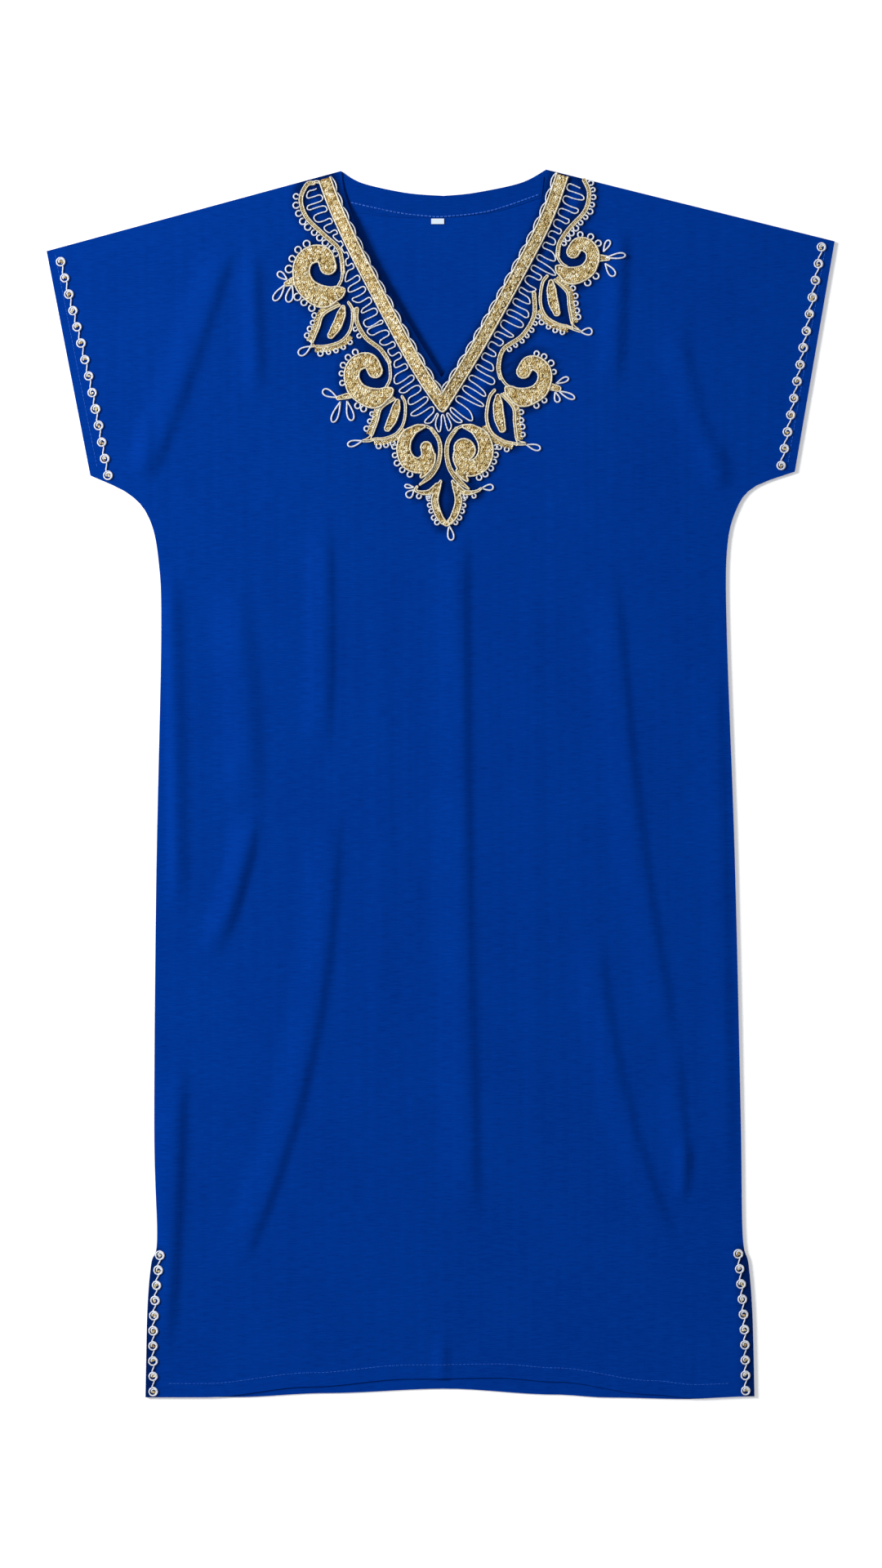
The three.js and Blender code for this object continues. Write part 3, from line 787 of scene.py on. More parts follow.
# The closed lines at a depth under the rim of joined round stations, traced over a fine grid
def rimLines(stations, inset, step=0.5):
    low, far = stationReach(stations)
    low, far = low - 1.5, far + 1.5
    xs, downs = np.arange(low[0], far[0], step), np.arange(low[1], far[1], step)
    grid = np.stack(np.meshgrid(xs, downs, indexing="ij"), axis=2).reshape(-1, 2)
    depth = np.concatenate([overlapDepth(part, stations)[0] for part in np.array_split(grid, 8)])
    depth = depth.reshape(len(xs), len(downs)) + inset + 1e-6
    inside = depth < 0
    corners = inside[:-1, :-1] + inside[1:, :-1] + inside[:-1, 1:] + inside[1:, 1:].astype(int)
    links, places = {}, {}
    for i, j in zip(*np.nonzero((corners > 0) & (corners < 4))):
        cell = [((i, j), (i + 1, j)), ((i + 1, j), (i + 1, j + 1)),
                ((i, j + 1), (i + 1, j + 1)), ((i, j), (i, j + 1))]
        crossed = [edge for edge in cell if inside[edge[0]] != inside[edge[1]]]
        for (a, b) in crossed:
            share = depth[a] / (depth[a] - depth[b])
            places[a, b] = (low[0] + step * mix(a[0], b[0], share),
                            low[1] + step * mix(a[1], b[1], share))
        for first, second in zip(crossed[::2], crossed[1::2]):
            links.setdefault(first, []).append(second)
            links.setdefault(second, []).append(first)
    lines = []
    while links:
        here = next(iter(links))
        line = []
        while here in links:
            line.append(places[here])
            onward = [edge for edge in links.pop(here) if edge in links]
            here = onward[0] if onward else None
        if len(line) > 12:
            lines.append(evenly(line + line[:1], 0.9)[:-1])
    return lines


def outlineCords(stations, lift, radius, inset):
    return [threadMesh(lay(line, lift), radius, 6, 0.28, closed=True)
            for line in rimLines(stations, inset)]


def openCord(line, lift, radius, sides=6, ply=0.25, spacing=0.9):
    return threadMesh(lay(evenly(line, spacing), lift), radius, sides, ply)


# One picot: a loop that leaves an edge, goes round and comes back to it
def picot(place, outward, size):
    reach = size * chance.uniform(0.9, 1.1)
    aim = math.atan2(outward[1], outward[0]) + chance.uniform(-0.18, 0.18)
    radius = reach / 2 - thread["picot"]
    off = reach / 2 - thread["picotOverlap"]
    centre = np.array(place) + np.array([math.cos(aim), math.sin(aim)]) * off
    turns = np.linspace(-2.55, 2.55, 13) + aim
    line = np.stack([centre[0] + radius * np.cos(turns), centre[1] + radius * np.sin(turns)], axis=1)
    return threadMesh(lay(line, thread["picot"] + 0.1), thread["picot"])


# A row of picots along part of an edge, all on the side that points away from a place
def picotRow(line, away, size, pitch, taken):
    line = evenly(line, 0.5)
    normals = normalsAwayFrom(line, np.array(away))
    count = max(1, round(lineLength(line) / pitch))
    made = []
    for n in range(count):
        at = int((n + 0.5) / count * (len(line) - 1))
        depth, _ = overlapDepth((line[at] + normals[at] * size * 0.55)[None], taken)
        if depth[0] > thread["picotRoom"]:
            made.append(picot(line[at], normals[at], size))
    return made


# A long loop from its root to its tip, narrow at the root and widest near the tip
def longLoop(root, tip, wide):
    root, tip = np.array(root, float), np.array(tip, float)
    along = tip - root
    side = np.array([along[1], -along[0]]) / np.linalg.norm(along)
    turn = np.linspace(0.06, 2 * math.pi - 0.06, 26)
    share = (1 - np.cos(turn)) / 2
    line = root + along * share[:, None] + side * (0.62 * wide * np.sin(turn) * share ** 0.7)[:, None]
    return threadMesh(lay(line, thread["picot"] + 0.1), thread["picot"], 6)


# Neck band
band = {
    "left": [(-117.9, 9.8), (-104, 46), (-78, 100), (-27, 195), (1.7, 239.2)],
    "right": [(1.7, 239.2), (41, 175), (92, 82), (111, 42), (123.8, 5.8)],
    "wide": 13, "point": 1.4, "cordInset": 0.6, "scallop": 16.2, "scallopDeep": 2.7, "scallopGap": 16,
}


def bandStations(spacing=1.5):
    middle = np.concatenate([curvePoints(band["left"], 60), curvePoints(band["right"], 60)[1:]])
    middle = evenly(middle, spacing)
    return np.column_stack([middle, np.full(len(middle), band["wide"])])


# The cord along one side of the band: it is cut back to the corner inside the V, and rounds the tip
# outside it
def bandEdge(hand):
    half = band["wide"] / 2 - band["cordInset"]
    stations = bandStations(0.9)
    normals = hand * lineNormals(stations)
    line = stations[:, :2] + normals * half
    tip = int(np.linalg.norm(stations[:, :2] - np.array(band["left"][-1]), axis=1).argmin())
    if hand == innerHand():
        shrunk = stations.copy()
        shrunk[:, 2] = 2 * half
        depth, _ = overlapDepth(line, shrunk)
        return line[depth > -0.35]
    before, after = (math.atan2(normals[n, 1], normals[n, 0]) for n in (tip - 3, tip + 3))
    turn = np.linspace(before, after, 15)
    rise = band["point"] * np.sin((turn - before) / (after - before) * math.pi) ** 2
    arc = np.stack([stations[tip, 0] + (half + rise * 0.2) * np.cos(turn),
                    stations[tip, 1] + (half + rise) * np.sin(turn)], axis=1)
    return np.concatenate([line[:tip - 2], arc, line[tip + 3:]])


def bandPiece():
    stations = bandStations()
    # The corner at the tip keeps its full width: the mitre is as long as the bend asks
    ahead = np.diff(stations[:, :2], axis=0)
    ahead /= np.linalg.norm(ahead, axis=1, keepdims=True)
    cosine = np.clip(np.sum(ahead[1:] * ahead[:-1], axis=1), -1, 1)
    stations[1:-1, 2] /= np.maximum(0.7, np.sqrt((1 + cosine) / 2))
    top = raised["band"] - thread["padLoss"]
    pad = [padding(stations, top)]
    knots = filling(bandStations(), top, squareEnds=True)
    edges = [openCord(bandEdge(hand), 1.7, thread["outline"], ply=0.28) for hand in (-1, 1)]
    sewnPiece("neck_band_gold",
              {"goldShade": pad, **goldShares(knots), "paleCord": edges}, ["neck_band"])


def bandSide(hand):
    stations = bandStations(0.5)
    normals = lineNormals(stations)
    tip = np.array(band["left"][-1])
    line = stations[:, :2] + hand * normals * (band["wide"] / 2)
    return line, hand * normals, np.linalg.norm(stations[:, :2] - tip, axis=1)


# The side of the band that faces the cut edge of the neck is the one nearer the middle of the V
def innerHand():
    stations = bandStations()
    normals = lineNormals(stations)
    return 1 if (stations[0, 0] + normals[0, 0] * 5) > stations[0, 0] else -1


# Thin thread in shallow scallops between the band and the cut edge
def scallopPiece():
    made = []
    line, outward, far = bandSide(innerHand())
    tipAt = int(far.argmin())
    for part in (slice(0, tipAt - band["scallopGap"]), slice(tipAt + band["scallopGap"], len(line))):
        edge, normal = line[part], outward[part]
        length = lineLength(edge)
        count = round(length / band["scallop"])
        steps = np.linspace(0, 1, len(edge))
        wave = np.abs(np.sin(steps * count * math.pi)) ** 0.7 * band["scallopDeep"] - 0.2
        wavy = edge + normal * wave[:, None]
        made.append(openCord(wavy, thread["thin"] + 0.1, thread["thin"], ply=0.2))
    sewnPiece("neck_scallops", {"paleThread": made})


# Scrolls, leaves, borders, hooks and the pendant, at the same places as their solids
scrollForm = [(41, 7.7, 17), (84, 16, 17.5), (113, 19.5, 18), (146, 21.5, 17.5), (182, 21.5, 17.5),
              (223, 22.5, 20), (268, 25.5, 23), (300, 26, 15), (316, 28, 7)]
scrolls = {
    "scroll_left_upper": {"x": -120, "down": 104, "size": 1, "turn": 0, "face": 1,
                          "picots": [(110, 186), (218, 264)], "ring": 8.2, "pitch": 9.4},
    "scroll_left_lower": {"x": -71, "down": 210, "size": 0.9, "turn": 8, "face": 1,
                          "picots": [(112, 204), (238, 268)], "ring": 7, "pitch": 7.8},
    "scroll_right_lower": {"x": 88, "down": 211, "size": 0.84, "turn": 13, "face": -1,
                           "picots": [(100, 182), (222, 262)], "ring": 6.8, "pitch": 7.6},
    "scroll_right_upper": {"x": 138, "down": 89, "size": 0.78, "turn": 14, "face": -1,
                           "picots": [(88, 162), (214, 262)], "ring": 7.2, "pitch": 8.2},
}
bottomForm = [(7.5, -1, 12), (9, 9, 13.5), (1, 17.5, 16), (-10.5, 13.5, 16), (-15.5, 1.5, 14.5),
              (-12.5, -11.5, 13), (-3.5, -19.5, 8), (5, -22, 4)]
hookForm = [(12.5, -20, 4), (20, -9, 4.4), (21.8, 3, 4.4), (19, 17, 4.8), (11.5, 28, 5.5), (1, 37, 2.6)]
bottoms = {
    "left": {"x": -22, "down": 283.5, "size": 1, "face": 1},
    "right": {"x": 29.5, "down": 285, "size": 1.07, "face": -1},
}
bottomPicots = {"bearings": (165, 262), "ring": 6.4, "pitch": 7.4}
leafForm = {
    "inner": [(3.5, 3, 3), (7.5, 11, 3), (6, 29, 3), (-3, 41.5, 3), (-18, 47, 3), (-29, 47.5, 3)],
    "outer": [(-6, 5.5, 3), (-22, 15, 3), (-27, 28, 3), (-33, 42, 3)],
    "core": [(-2, 8, 5), (-4.5, 17, 9.5), (-8.5, 27, 10), (-14.5, 36.5, 7)],
}
leaves = {
    "leaf_left_upper": {"x": -97, "down": 132.5, "size": 1, "slim": 1, "turn": 0, "face": 1},
    "leaf_left_lower": {"x": -42, "down": 228, "size": 0.97, "slim": 0.85, "turn": 0, "face": 1},
    "leaf_right_lower": {"x": 58.5, "down": 222, "size": 1.1, "slim": 0.8, "turn": 12, "face": -1},
    "leaf_right_upper": {"x": 112, "down": 106, "size": 1.05, "slim": 0.85, "turn": 10, "face": -1},
}
# Rows of loops outside a leaf's edges, and the picots outside them
leafRim = {"rows": (2.5, 4.9), "knotPitch": 2.5, "knotSize": 0.95, "lift": 0.65,
           "picots": 4.7, "ring": 6.2, "pitch": 7.4}
borders = {
    "border_left_upper": {
        "path": [(-129, 14), (-136, 16), (-142, 31), (-136, 49), (-118, 67), (-103, 82), (-99, 105)],
        "share": (0.3, 0.86), "away": (-100, 40), "ring": 7.4, "pitch": 8.4},
    "border_left_lower": {
        "path": [(-85, 142), (-85, 155), (-76, 171), (-61, 183), (-52, 196)],
        "share": (0.1, 0.5), "away": (-40, 150), "ring": 5.4, "pitch": 7.6},
    "border_right_lower": {
        "path": [(95, 126), (95, 149), (83, 169), (64, 183), (59, 200), (61, 212)],
        "share": (0.1, 0.6), "away": (40, 150), "ring": 5.4, "pitch": 7.6},
    "border_right_upper": {
        "path": [(146, 11), (151, 24), (147, 42), (131, 60), (121, 75), (119, 88)],
        "share": (0.1, 0.82), "away": (110, 40), "ring": 6.4, "pitch": 7},
}
borderWide = 4.6
pendant = {
    "middle": 6.2, "ring": 5.8, "pitch": 6.4,
    "wing": [(-17.5, 327.5, 4.5), (-23, 329, 4.5), (-30, 327.5, 3)],
    "drop": [(-6, 317, 3), (-9.5, 326, 6), (-12, 337, 7.5), (-9, 349, 7.5), (-3.8, 358.5, 5.5)],
}
# Long loops by their root, tip and width
longLoops = {
    "left_upper": [((-155.6, 112.5), (-165.2, 105), 6.6), ((-158.1, 117.4), (-169.3, 133.2), 7.5),
                   ((-150.6, 117.4), (-154.8, 134.9), 7.9), ((-131.6, 179.7), (-144, 188), 8.3)],
    "left_lower": [((-105, 232), (-119.5, 224.9), 7.9), ((-101.7, 236.1), (-109.6, 256.9), 7.1),
                   ((-95, 235.3), (-90.1, 255.2), 7.5), ((-79.3, 276), (-94.2, 280.1), 6.6)],
    "right_lower": [((117.4, 217.9), (129.9, 212.1), 5.4), ((119.9, 225.3), (136.1, 232.8), 6),
                    ((116.6, 226.2), (119.5, 236.6), 6), ((87.2, 280), (101.3, 284), 6.6)],
    "right_upper": [((165.6, 83.8), (171.4, 72.6), 5.8), ((168.1, 90.1), (187.6, 87.6), 6),
                    ((167.2, 95.9), (176.4, 108.7), 7.5), ((142.2, 165.2), (154, 164.8), 7.9)],
    "bottom": [((-27, 323.3), (-36.1, 321.6), 4), ((-27, 325.8), (-34, 332.8), 7.5),
               ((41.9, 324.1), (53.5, 322.9), 6.6), ((8.7, 362), (11.2, 376.8), 6.8)],
}
# Short gold stems that the long loops spring from
stemForm = {"fill": 1.0, "edge": 1.2, "pad": 0.9, "lift": 1.1, "cord": 0.8, "inset": 0.3}
stems = {
    "left_upper": [(-149, 113.5, 8), (-156.5, 116.6, 5)],
    "left_lower": [(-92.5, 230, 6), (-104, 232.5, 4)],
    "right_lower": [(110, 220.4, 7), (119.5, 223, 6)],
    "right_upper": [(160.6, 90.1, 7), (170, 90.8, 4.5)],
}

# Cords that close a scroll's eye or run out to a leaf's tip: points, and the cords side by side
closings = {
    "left_upper": [([(-99.5, 97), (-99.6, 104), (-100.6, 112), (-104.5, 119.5)], 2),
                   ([(-130, 14.5), (-127, 12.8), (-123.4, 13.2)], 2),
                   ([(-89, 141), (-87.5, 148), (-87.5, 155)], 2),
                   ([(-126, 180), (-129, 178.5), (-131.6, 179.7)], 1)],
    "left_lower": [([(-54, 191), (-52, 198), (-51, 206), (-51.5, 214), (-55.5, 222)], 2),
                   ([(-65.9, 274), (-73, 276), (-79.3, 276)], 2),
                   ([(-69.2, 268.7), (-74, 273), (-79.3, 275.5)], 1)],
    "right_lower": [([(60, 207), (62.5, 213), (66.5, 218.5), (72, 222)], 2),
                    ([(72.6, 278.4), (80, 279.3), (87, 279)], 2),
                    ([(77.3, 273.3), (80.5, 276.3), (86, 277.5)], 1)],
    "right_upper": [([(118.5, 84), (119.5, 90), (123.5, 96), (129, 99.5)], 2),
                    ([(128.8, 159.6), (136, 162.8), (142.2, 164.8)], 2),
                    ([(133.3, 154.5), (136, 159), (141, 162.8)], 1)],
    "bottom": [],
}
bottomExtras = {
    "close": [(-14.4, -17), (-6, -21.5), (4, -23), (11.5, -20.5), (15, -17.5)],
    "fill": [(15.5, 6.5, 3.5), (14, 14.5, 5), (10, 20.5, 6.5), (6, 25, 6), (2.5, 29, 3.5)],
    "fillFrom": {"left": 0, "right": 2},
    "head": [(5.6, -1.3, 19), (4.8, -0.5, 20), (4.2, 0.5, 20)],
    "joint": {"left": [(-29.5, 327.6, 3.2), (-31.8, 325.8, 3), (-30, 322.6, 2.8)],
              "right": [(-29.5, 327.6, 3.2), (-32.6, 326.3, 3), (-35, 324.4, 2.6)]},
    "bridge": [(-24, 328.6, 4.2), (-18.5, 328.6, 5.5), (-13.8, 325.8, 6.5), (-9.8, 320.8, 4.6)],
    "join": [(-4.2, 356.5, 5.5), (0, 360.6, 5), (4.2, 356.5, 5.5)],
}


def placed(motif, places):
    angle = math.radians(motif.get("turn", 0))
    size, slim = motif["size"], motif.get("slim", 1)
    moved = []
    for px, down, *wide in places:
        x = slim * px * math.cos(angle) + down * math.sin(angle)
        drop = down * math.cos(angle) - slim * px * math.sin(angle)
        moved.append((motif["x"] + motif["face"] * size * x, motif["down"] + size * drop,
                      *[w * size for w in wide]))
    return moved


goldCord = {"lift": 1.75, "inset": 0.6}


# Gold shape of one or more ribbons: padding, loops on it and a pale cord round it
def goldParts(ribbons, high, knotSize=1.0, edge=1.8, cord=thread["outline"]):
    top = high - thread["padLoss"]
    return {
        "goldShade": [padding(ribbon, top) for ribbon in ribbons],
        **goldShares(filling(discs(*ribbons), top, edge, knotSize)),
        "paleCord": outlineCords(discs(*ribbons), goldCord["lift"], cord, goldCord["inset"]),
    }


corded = {"sink": 0.3, "lift": 1.05, "radius": 0.68, "inset": 0.62, "plainInset": 0.45,
          "knotPitch": 2.1, "knotSize": 0.66}
closing = {"lift": 1.05, "radius": 0.72, "pitch": 1.9}


# Corded shape: a pale cord round a narrow pad, with or without small gold loops inside
def cordedParts(stations, high, knots=True):
    top = high - thread["padLoss"]
    inset = corded["inset" if knots else "plainInset"]
    parts = {
        "goldShade" if knots else "gold": [padding(stations, top - corded["sink"])],
        "paleCord": outlineCords(discs(stations), corded["lift"], corded["radius"], inset),
    }
    if knots:
        line = evenly(stations[4:-4, :2], corded["knotPitch"])
        parts["gold"] = knotsAt(lay(line, top + 0.1), corded["knotSize"])
    return parts


allStations, goldRows, closingParts = {}, {}, {}
picotLines = {"left_upper": [], "left_lower": [], "right_lower": [], "right_upper": [], "bottom": []}


# The edge of a ribbon on the side away from a place
def outerSide(stations, centre, ends=10):
    return stations[:, :2] + normalsAwayFrom(stations, centre, ends) * stations[:, 2:] / 2


# The part of that edge between two bearings in degrees, seen from the motif's own centre
def edgeBetween(stations, motif, bearings, ends=10):
    centre = np.array([motif["x"], motif["down"]])
    outer = outerSide(stations, centre, ends)
    away = outer - centre
    turn = np.degrees(np.arctan2(-away[:, 1], motif["face"] * away[:, 0])) % 360
    return outer[(turn >= bearings[0]) & (turn <= bearings[1])], centre


def scrollPieces():
    places = [(reach * math.cos(math.radians(turn)), -reach * math.sin(math.radians(turn)), wide)
              for turn, reach, wide in scrollForm]
    for name, scroll in scrolls.items():
        stations = ribbon(placed(scroll, places))
        allStations[name] = stations
        sewnPiece(name + "_gold", goldParts([stations], raised["scroll"]), [name])
        for bearings in scroll["picots"]:
            part = edgeBetween(stations, scroll, bearings, 20)
            picotLines[name.replace("scroll_", "")].append((*part, scroll["ring"], scroll["pitch"]))


def leafPieces():
    for name, leaf in leaves.items():
        where = name.replace("leaf_", "")
        core, inner, outer = (ribbon(placed(leaf, leafForm[n])) for n in ("core", "inner", "outer"))
        allStations[name + "_inner"], allStations[name + "_outer"] = inner, outer
        sewnPiece(name + "_core_gold",
                  goldParts([core], raised["leaf"], 0.95, 1.6, thread["fine"]), [name + "_core"])
        for side, stations in (("inner", inner), ("outer", outer)):
            sewnPiece(f"{name}_{side}_cord", cordedParts(stations, raised["border"], False),
                      [f"{name}_{side}_edge"])
        middle = core[:, :2].mean(axis=0)
        tip = (outer[-1, :2] + inner[-1, :2]) / 2
        close = [outer[-1, :2], tip + (tip - middle) * 0.1, inner[-1, :2]]
        rows = goldRows.setdefault(where, [])
        rows += knotsAt(lay(close, 0.8), 1.05)
        closings[where].append((close, 1))
        for line in (outer[6:-3, :2], inner[int(len(inner) * 0.5):-4, :2]):
            normals = normalsAwayFrom(line, middle)
            for off in leafRim["rows"]:
                row = evenly(line + normals * off, leafRim["knotPitch"])
                rows += knotsAt(lay(row, leafRim["lift"]), leafRim["knotSize"])
            edge = line + normals * leafRim["picots"]
            picotLines[where].append((edge, middle, leafRim["ring"], leafRim["pitch"]))


def borderPieces():
    for name, border in borders.items():
        stations = ribbon([(*p, borderWide) for p in border["path"]])
        allStations[name] = stations
        sewnPiece(name + "_cord", cordedParts(stations, raised["border"]), [name])
        line = outerSide(stations, np.array(border["away"]))
        start, end = (int(share * (len(line) - 1)) for share in border["share"])
        picotLines[name.replace("border_", "")].append(
            (line[start:end], border["away"], border["ring"], border["pitch"]))


def bottomPieces():
    for hand, bottom in bottoms.items():
        body, fill, hook = (ribbon(placed(bottom, part)) for part in (
            bottomForm, bottomExtras["fill"][bottomExtras["fillFrom"][hand]:], hookForm))
        shapes = [body, fill]
        if hand == "right":
            shapes.append(ribbon(placed(bottom, bottomExtras["head"])))
        sewnPiece(f"scroll_{hand}_bottom_gold", goldParts(shapes, raised["scroll"]),
                  [f"scroll_{hand}_bottom"])
        sewnPiece(f"hook_{hand}_cord", cordedParts(hook, raised["border"]),
                  [f"hook_{hand}"])
        half = {"x": pendant["middle"], "down": 0, "size": 1, "face": bottom["face"]}
        wing, drop, bridge, joint, join = (ribbon(placed(half, part)) for part in (
            pendant["wing"], pendant["drop"], bottomExtras["bridge"], bottomExtras["joint"][hand],
            bottomExtras["join"]))
        sides = [wing, drop, bridge, joint] + ([join] if hand == "left" else [])
        sewnPiece(f"pendant_{hand}_gold",
                  goldParts(sides, raised["leaf"], 0.9, 1.5, thread["fine"]),
                  [f"pendant_wing_{hand}", f"pendant_drop_{hand}"])
        for name, stations in (("body", body), ("fill", fill), ("hook", hook), ("wing", wing),
                               ("drop", drop), ("bridge", bridge)):
            allStations[name + "_" + hand] = stations
        for stations, down, first in ((wing, 322, 4), (drop, 337, 12)):
            centre = np.array([pendant["middle"], down])
            picotLines["bottom"].append((outerSide(stations, centre)[first:-4], centre,
                                         pendant["ring"], pendant["pitch"]))
        closings["bottom"].append((placed(bottom, bottomExtras["close"]), 2))
        part = edgeBetween(body, bottom, bottomPicots["bearings"])
        picotLines["bottom"].append((*part, bottomPicots["ring"], bottomPicots["pitch"]))


def looseLoops():
    picotParts = {where: [longLoop(*loop) for loop in loops] for where, loops in longLoops.items()}
    for where, cords in closings.items():
        for path, count in cords:
            line = evenly(curvePoints(path, 30), 0.9)
            normals = lineNormals(line)
            for n in range(count):
                beside = line + normals * (n - (count - 1) / 2) * closing["pitch"]
                cord = openCord(beside, closing["lift"], closing["radius"])
                closingParts.setdefault(where, []).append(cord)
    taken = discs(*allStations.values())
    for where, rows in picotLines.items():
        for row in rows:
            picotParts[where] += picotRow(*row, taken)
    for where, made in picotParts.items():
        gold, pads = goldRows.get(where, []), []
        cords = closingParts.get(where, [])
        if where in stems:
            stem = ribbon(stems[where])
            gold = gold + filling(discs(stem), stemForm["fill"], stemForm["edge"])
            pads = [padding(stem, stemForm["pad"])]
            cords = cords + outlineCords(discs(stem), stemForm["lift"], stemForm["cord"],
                                         stemForm["inset"])
        sewnPiece("picots_" + where,
                  {"paleThread": made, "goldShade": pads, **goldShares(gold), "paleCord": cords})


# Thin thread that runs to and fro between the band and the motifs round it, and fans out at the tip
ladder = {
    "pitch": 6.4, "gap": 1.7, "shortest": 5, "longest": 33, "open": 25, "bow": 1.3,
    "tilt": 0.11, "wander": 0.12, "fan": 8, "fanReach": 10.2, "closeWide": 3.6,
}


# One stroke: from the band's side outwards until it meets a motif
def ladderStroke(place, aim, obstacles):
    tilt = chance.uniform(-1, 1) * ladder["tilt"]
    aim = np.array([aim[0] * math.cos(tilt) - aim[1] * math.sin(tilt),
                    aim[0] * math.sin(tilt) + aim[1] * math.cos(tilt)])
    steps = np.arange(2, ladder["longest"], 0.5)
    depth, _ = overlapDepth(place + aim * steps[:, None], obstacles)
    hit = np.nonzero(depth < ladder["gap"])[0]
    reach = steps[hit[0]] if len(hit) else ladder["open"]
    reach = max(ladder["shortest"], reach) * chance.uniform(0.9, 1.0)
    first, last = place + aim * ladder["gap"], place + aim * reach
    bow = np.array([-aim[1], aim[0]]) * chance.uniform(-1, 1) * ladder["bow"]
    return [first, (first + last) / 2 + bow, last]


def ladderPiece():
    line, outward, far = bandSide(-innerHand())
    tip = int(far.argmin())
    closed = [ribbon([(*p[:2], ladder["closeWide"]) for p in path])
              for cords in closings.values() for path, _ in cords]
    obstacles = np.concatenate(list(allStations.values()) + closed)

    def alongEdge(part):
        edge, aims = line[part], outward[part]
        count = round(lineLength(edge) / ladder["pitch"])
        for n in range(count):
            share = (n + 0.5 + chance.uniform(-1, 1) * ladder["wander"]) / count
            at = int(share * (len(edge) - 1))
            yield edge[at], aims[at]

    def roundTip():
        middle = np.array(band["left"][-1])
        before, after = (math.atan2(outward[n, 1], outward[n, 0]) for n in (tip - 12, tip + 12))
        for n in range(ladder["fan"]):
            turn = mix(before, after, (n + 0.5) / ladder["fan"])
            aim = np.array([math.cos(turn), math.sin(turn)])
            yield middle + aim * (ladder["fanReach"] - ladder["gap"]), aim

    starts = [*alongEdge(slice(8, tip - 2)), *roundTip(), *alongEdge(slice(tip + 2, len(line) - 5))]
    path = []
    for n, (place, aim) in enumerate(starts):
        stroke = ladderStroke(place, aim, obstacles)
        path += stroke if n % 2 == 0 else stroke[::-1]
    path = np.array(path)
    for _ in range(3):
        a, b = path[:-1], path[1:]
        path = np.stack([a * 0.75 + b * 0.25, a * 0.25 + b * 0.75], axis=1).reshape(-1, 2)
    cord = openCord(path, thread["thin"] + 0.1, thread["thin"], spacing=0.8)
    sewnPiece("ladder_thread", {"paleThread": [cord]})


# Rosette trims: coiled cord with a gold heart, strung on one thread
chains = {
    "trim_cuff_left": {"x": (-386, -358, -338), "down": (94, 208, 311), "count": 14},
    "trim_cuff_right": {"x": (387, 366, 346), "down": (79, 195, 301), "count": 14},
    "trim_slit_left": {"x": (-285, -291.5, -292), "down": (1103, 1171, 1242), "count": 10},
    "trim_slit_right": {"x": (302.5, 308.5, 310), "down": (1102, 1175, 1241), "count": 10},
}
rosette = {"rim": 4.16, "heart": 1.3, "swirl": 0.8, "cord": 0.84, "swing": 1.1, "link": 0.74}


# A coil that opens from its heart to its rim
def coilLine(centre, aim):
    turns = np.linspace(-1 - rosette["swirl"], 0, 48)
    size = chance.uniform(0.95, 1.03)
    opened = np.clip((turns + 1) / rosette["swirl"] + 1, 0, 1) ** 0.8
    radius = size * (rosette["heart"] + (rosette["rim"] - rosette["heart"]) * opened)
    spin = turns * 2 * math.pi + aim + chance.uniform(-0.2, 0.2)
    return centre + np.stack([radius * np.cos(spin), radius * np.sin(spin)], axis=1)


# The cord from one rosette's rim to the next one's, in a slight S
def linkLine(before, after):
    along = after - before
    step = np.linalg.norm(along)
    side = np.array([along[1], -along[0]]) / step
    edge = rosette["rim"] / step
    s = np.linspace(0, 1, 10)
    swing = rosette["swing"] * np.cos(s * math.pi)
    return before + along * (edge + (1 - 2 * edge) * s)[:, None] + side * swing[:, None]


def trimPieces():
    for name, chain in chains.items():
        line = evenly(curvePoints(list(zip(chain["x"], chain["down"])), 200), 0.25)
        last = chain["count"] - 1
        centres = [line[int(n / last * (len(line) - 1))] for n in range(last + 1)]
        coils, hearts, links = [], [], []
        for n, centre in enumerate(centres):
            ahead = centres[min(n + 1, last)] - centres[max(n - 1, 0)]
            coil = coilLine(centre, math.atan2(ahead[1], ahead[0]))
            coils.append(threadMesh(lay(coil, rosette["cord"] + 0.1), rosette["cord"], 6, 0.2))
            hearts += knotsAt(lay([centre + spread.uniform(-1.5, 1.5, 2) for _ in range(3)], 0.9), 0.8)
            if n:
                links.append(openCord(linkLine(centres[n - 1], centre), 0.8, rosette["link"], ply=0.2))
        sewnPiece(name + "_rosettes",
                  {"paleThread": coils + links, **goldShares(hearts)}, [name])


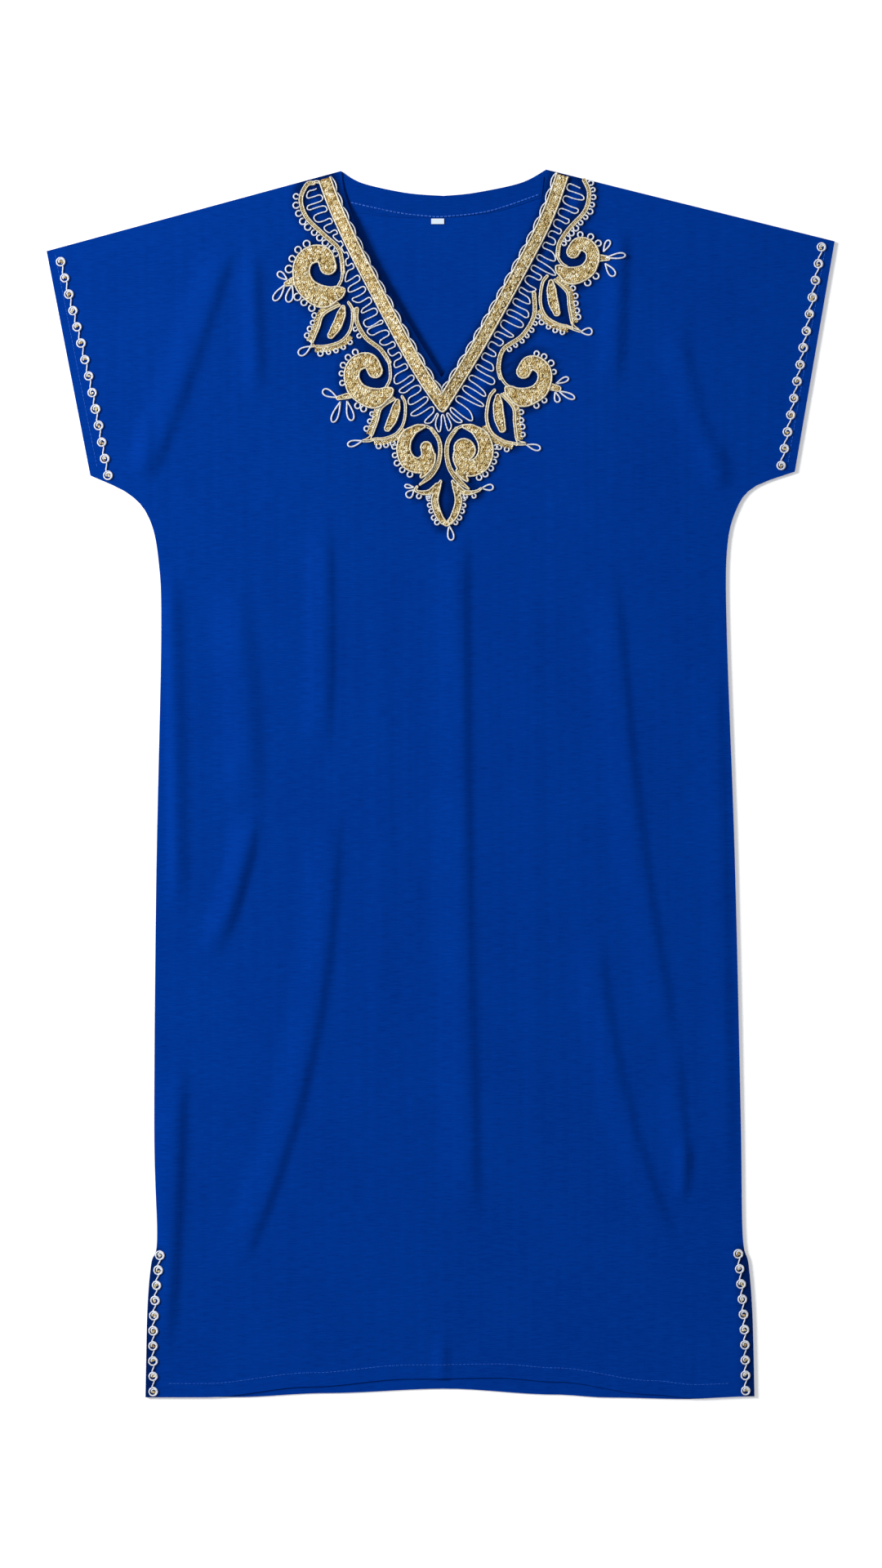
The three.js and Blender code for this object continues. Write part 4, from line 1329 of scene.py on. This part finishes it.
# Stitch lines in blue sewing thread: short dashes along the hems, cuffs and facing
stitch = {"fromHem": 14, "spacing": 0.5, "dash": 7, "step": 8, "lift": 0.12, "fine": 0.55, "bold": 1.7}
stitchLines = {
    "hem": [(x, hemDown(cut["frontHem"], x) - stitch["fromHem"]) for x in range(-276, 297, 6)],
    "cuffLeft": [(-391.5, 87), (-349, 303)],
    "cuffRight": [(391.5, 78), (353, 299)],
    "facing": [(-91, 33.5), (-45, 43.5), (-16, 47), (4.5, 47.7), (50, 42), (101, 25)],
}


def stitchPiece():
    dashes = []
    for name, places in stitchLines.items():
        line = evenly(curvePoints(places, 200), stitch["spacing"])
        for at in range(0, len(line) - stitch["dash"], stitch["step"]):
            dash = line[at:at + stitch["dash"]]
            points, size = lay(dash, stitch["lift"]), stitch["fine"]
            if name == "facing":
                points[:, 2], size = frontRest + facing["rise"] + 0.15, stitch["bold"]
            dashes.append(threadMesh(points, thread["seam"] * size, 4))
    sewnPiece("stitch_lines", {"blueThread": dashes})


# How near each point of the front is to the stitching and to the slit trims, for the painted shade on
# the cloth
shadeReach = {"near": 3, "far": 11.5, "yokeSide": 200, "yokeLow": 380, "slitTop": 1080, "slitSide": 260,
              "besideSlit": 6}


def shadeFront():
    places = np.array([v.co[:2] for v in frontPanel.data.vertices]) / mm
    points = np.stack([places[:, 0], garment["length"] / 2 - places[:, 1]], axis=1)
    slits = [(x + math.copysign(shadeReach["besideSlit"], x), down, 3)
             for name in ("trim_slit_left", "trim_slit_right")
             for x, down in curvePoints(list(zip(chains[name]["x"], chains[name]["down"])), 24)]
    shapes = np.concatenate([bandStations(4), *(s[::3] for s in allStations.values()), np.array(slits)])
    shade = np.zeros(len(points))
    off, down = np.abs(points[:, 0]), points[:, 1]
    inside = np.nonzero((off < shadeReach["yokeSide"]) & (down < shadeReach["yokeLow"])
                        | (down > shadeReach["slitTop"]) & (off > shadeReach["slitSide"]))[0]
    for part in np.array_split(inside, 12):
        depth, _ = overlapDepth(points[part], shapes)
        t = np.clip((depth - shadeReach["near"]) / (shadeReach["far"] - shadeReach["near"]), 0, 1)
        shade[part] = 1 - t * t * (3 - 2 * t)
    writeShade(frontPanel, shade)


bandPiece()
scallopPiece()
print("neck band made")
scrollPieces()
leafPieces()
borderPieces()
bottomPieces()
print("scrolls, leaves and pendant made")
ladderPiece()
looseLoops()
print("picots and ladder made")
trimPieces()
stitchPiece()
shadeFront()
print("trims and stitches made")
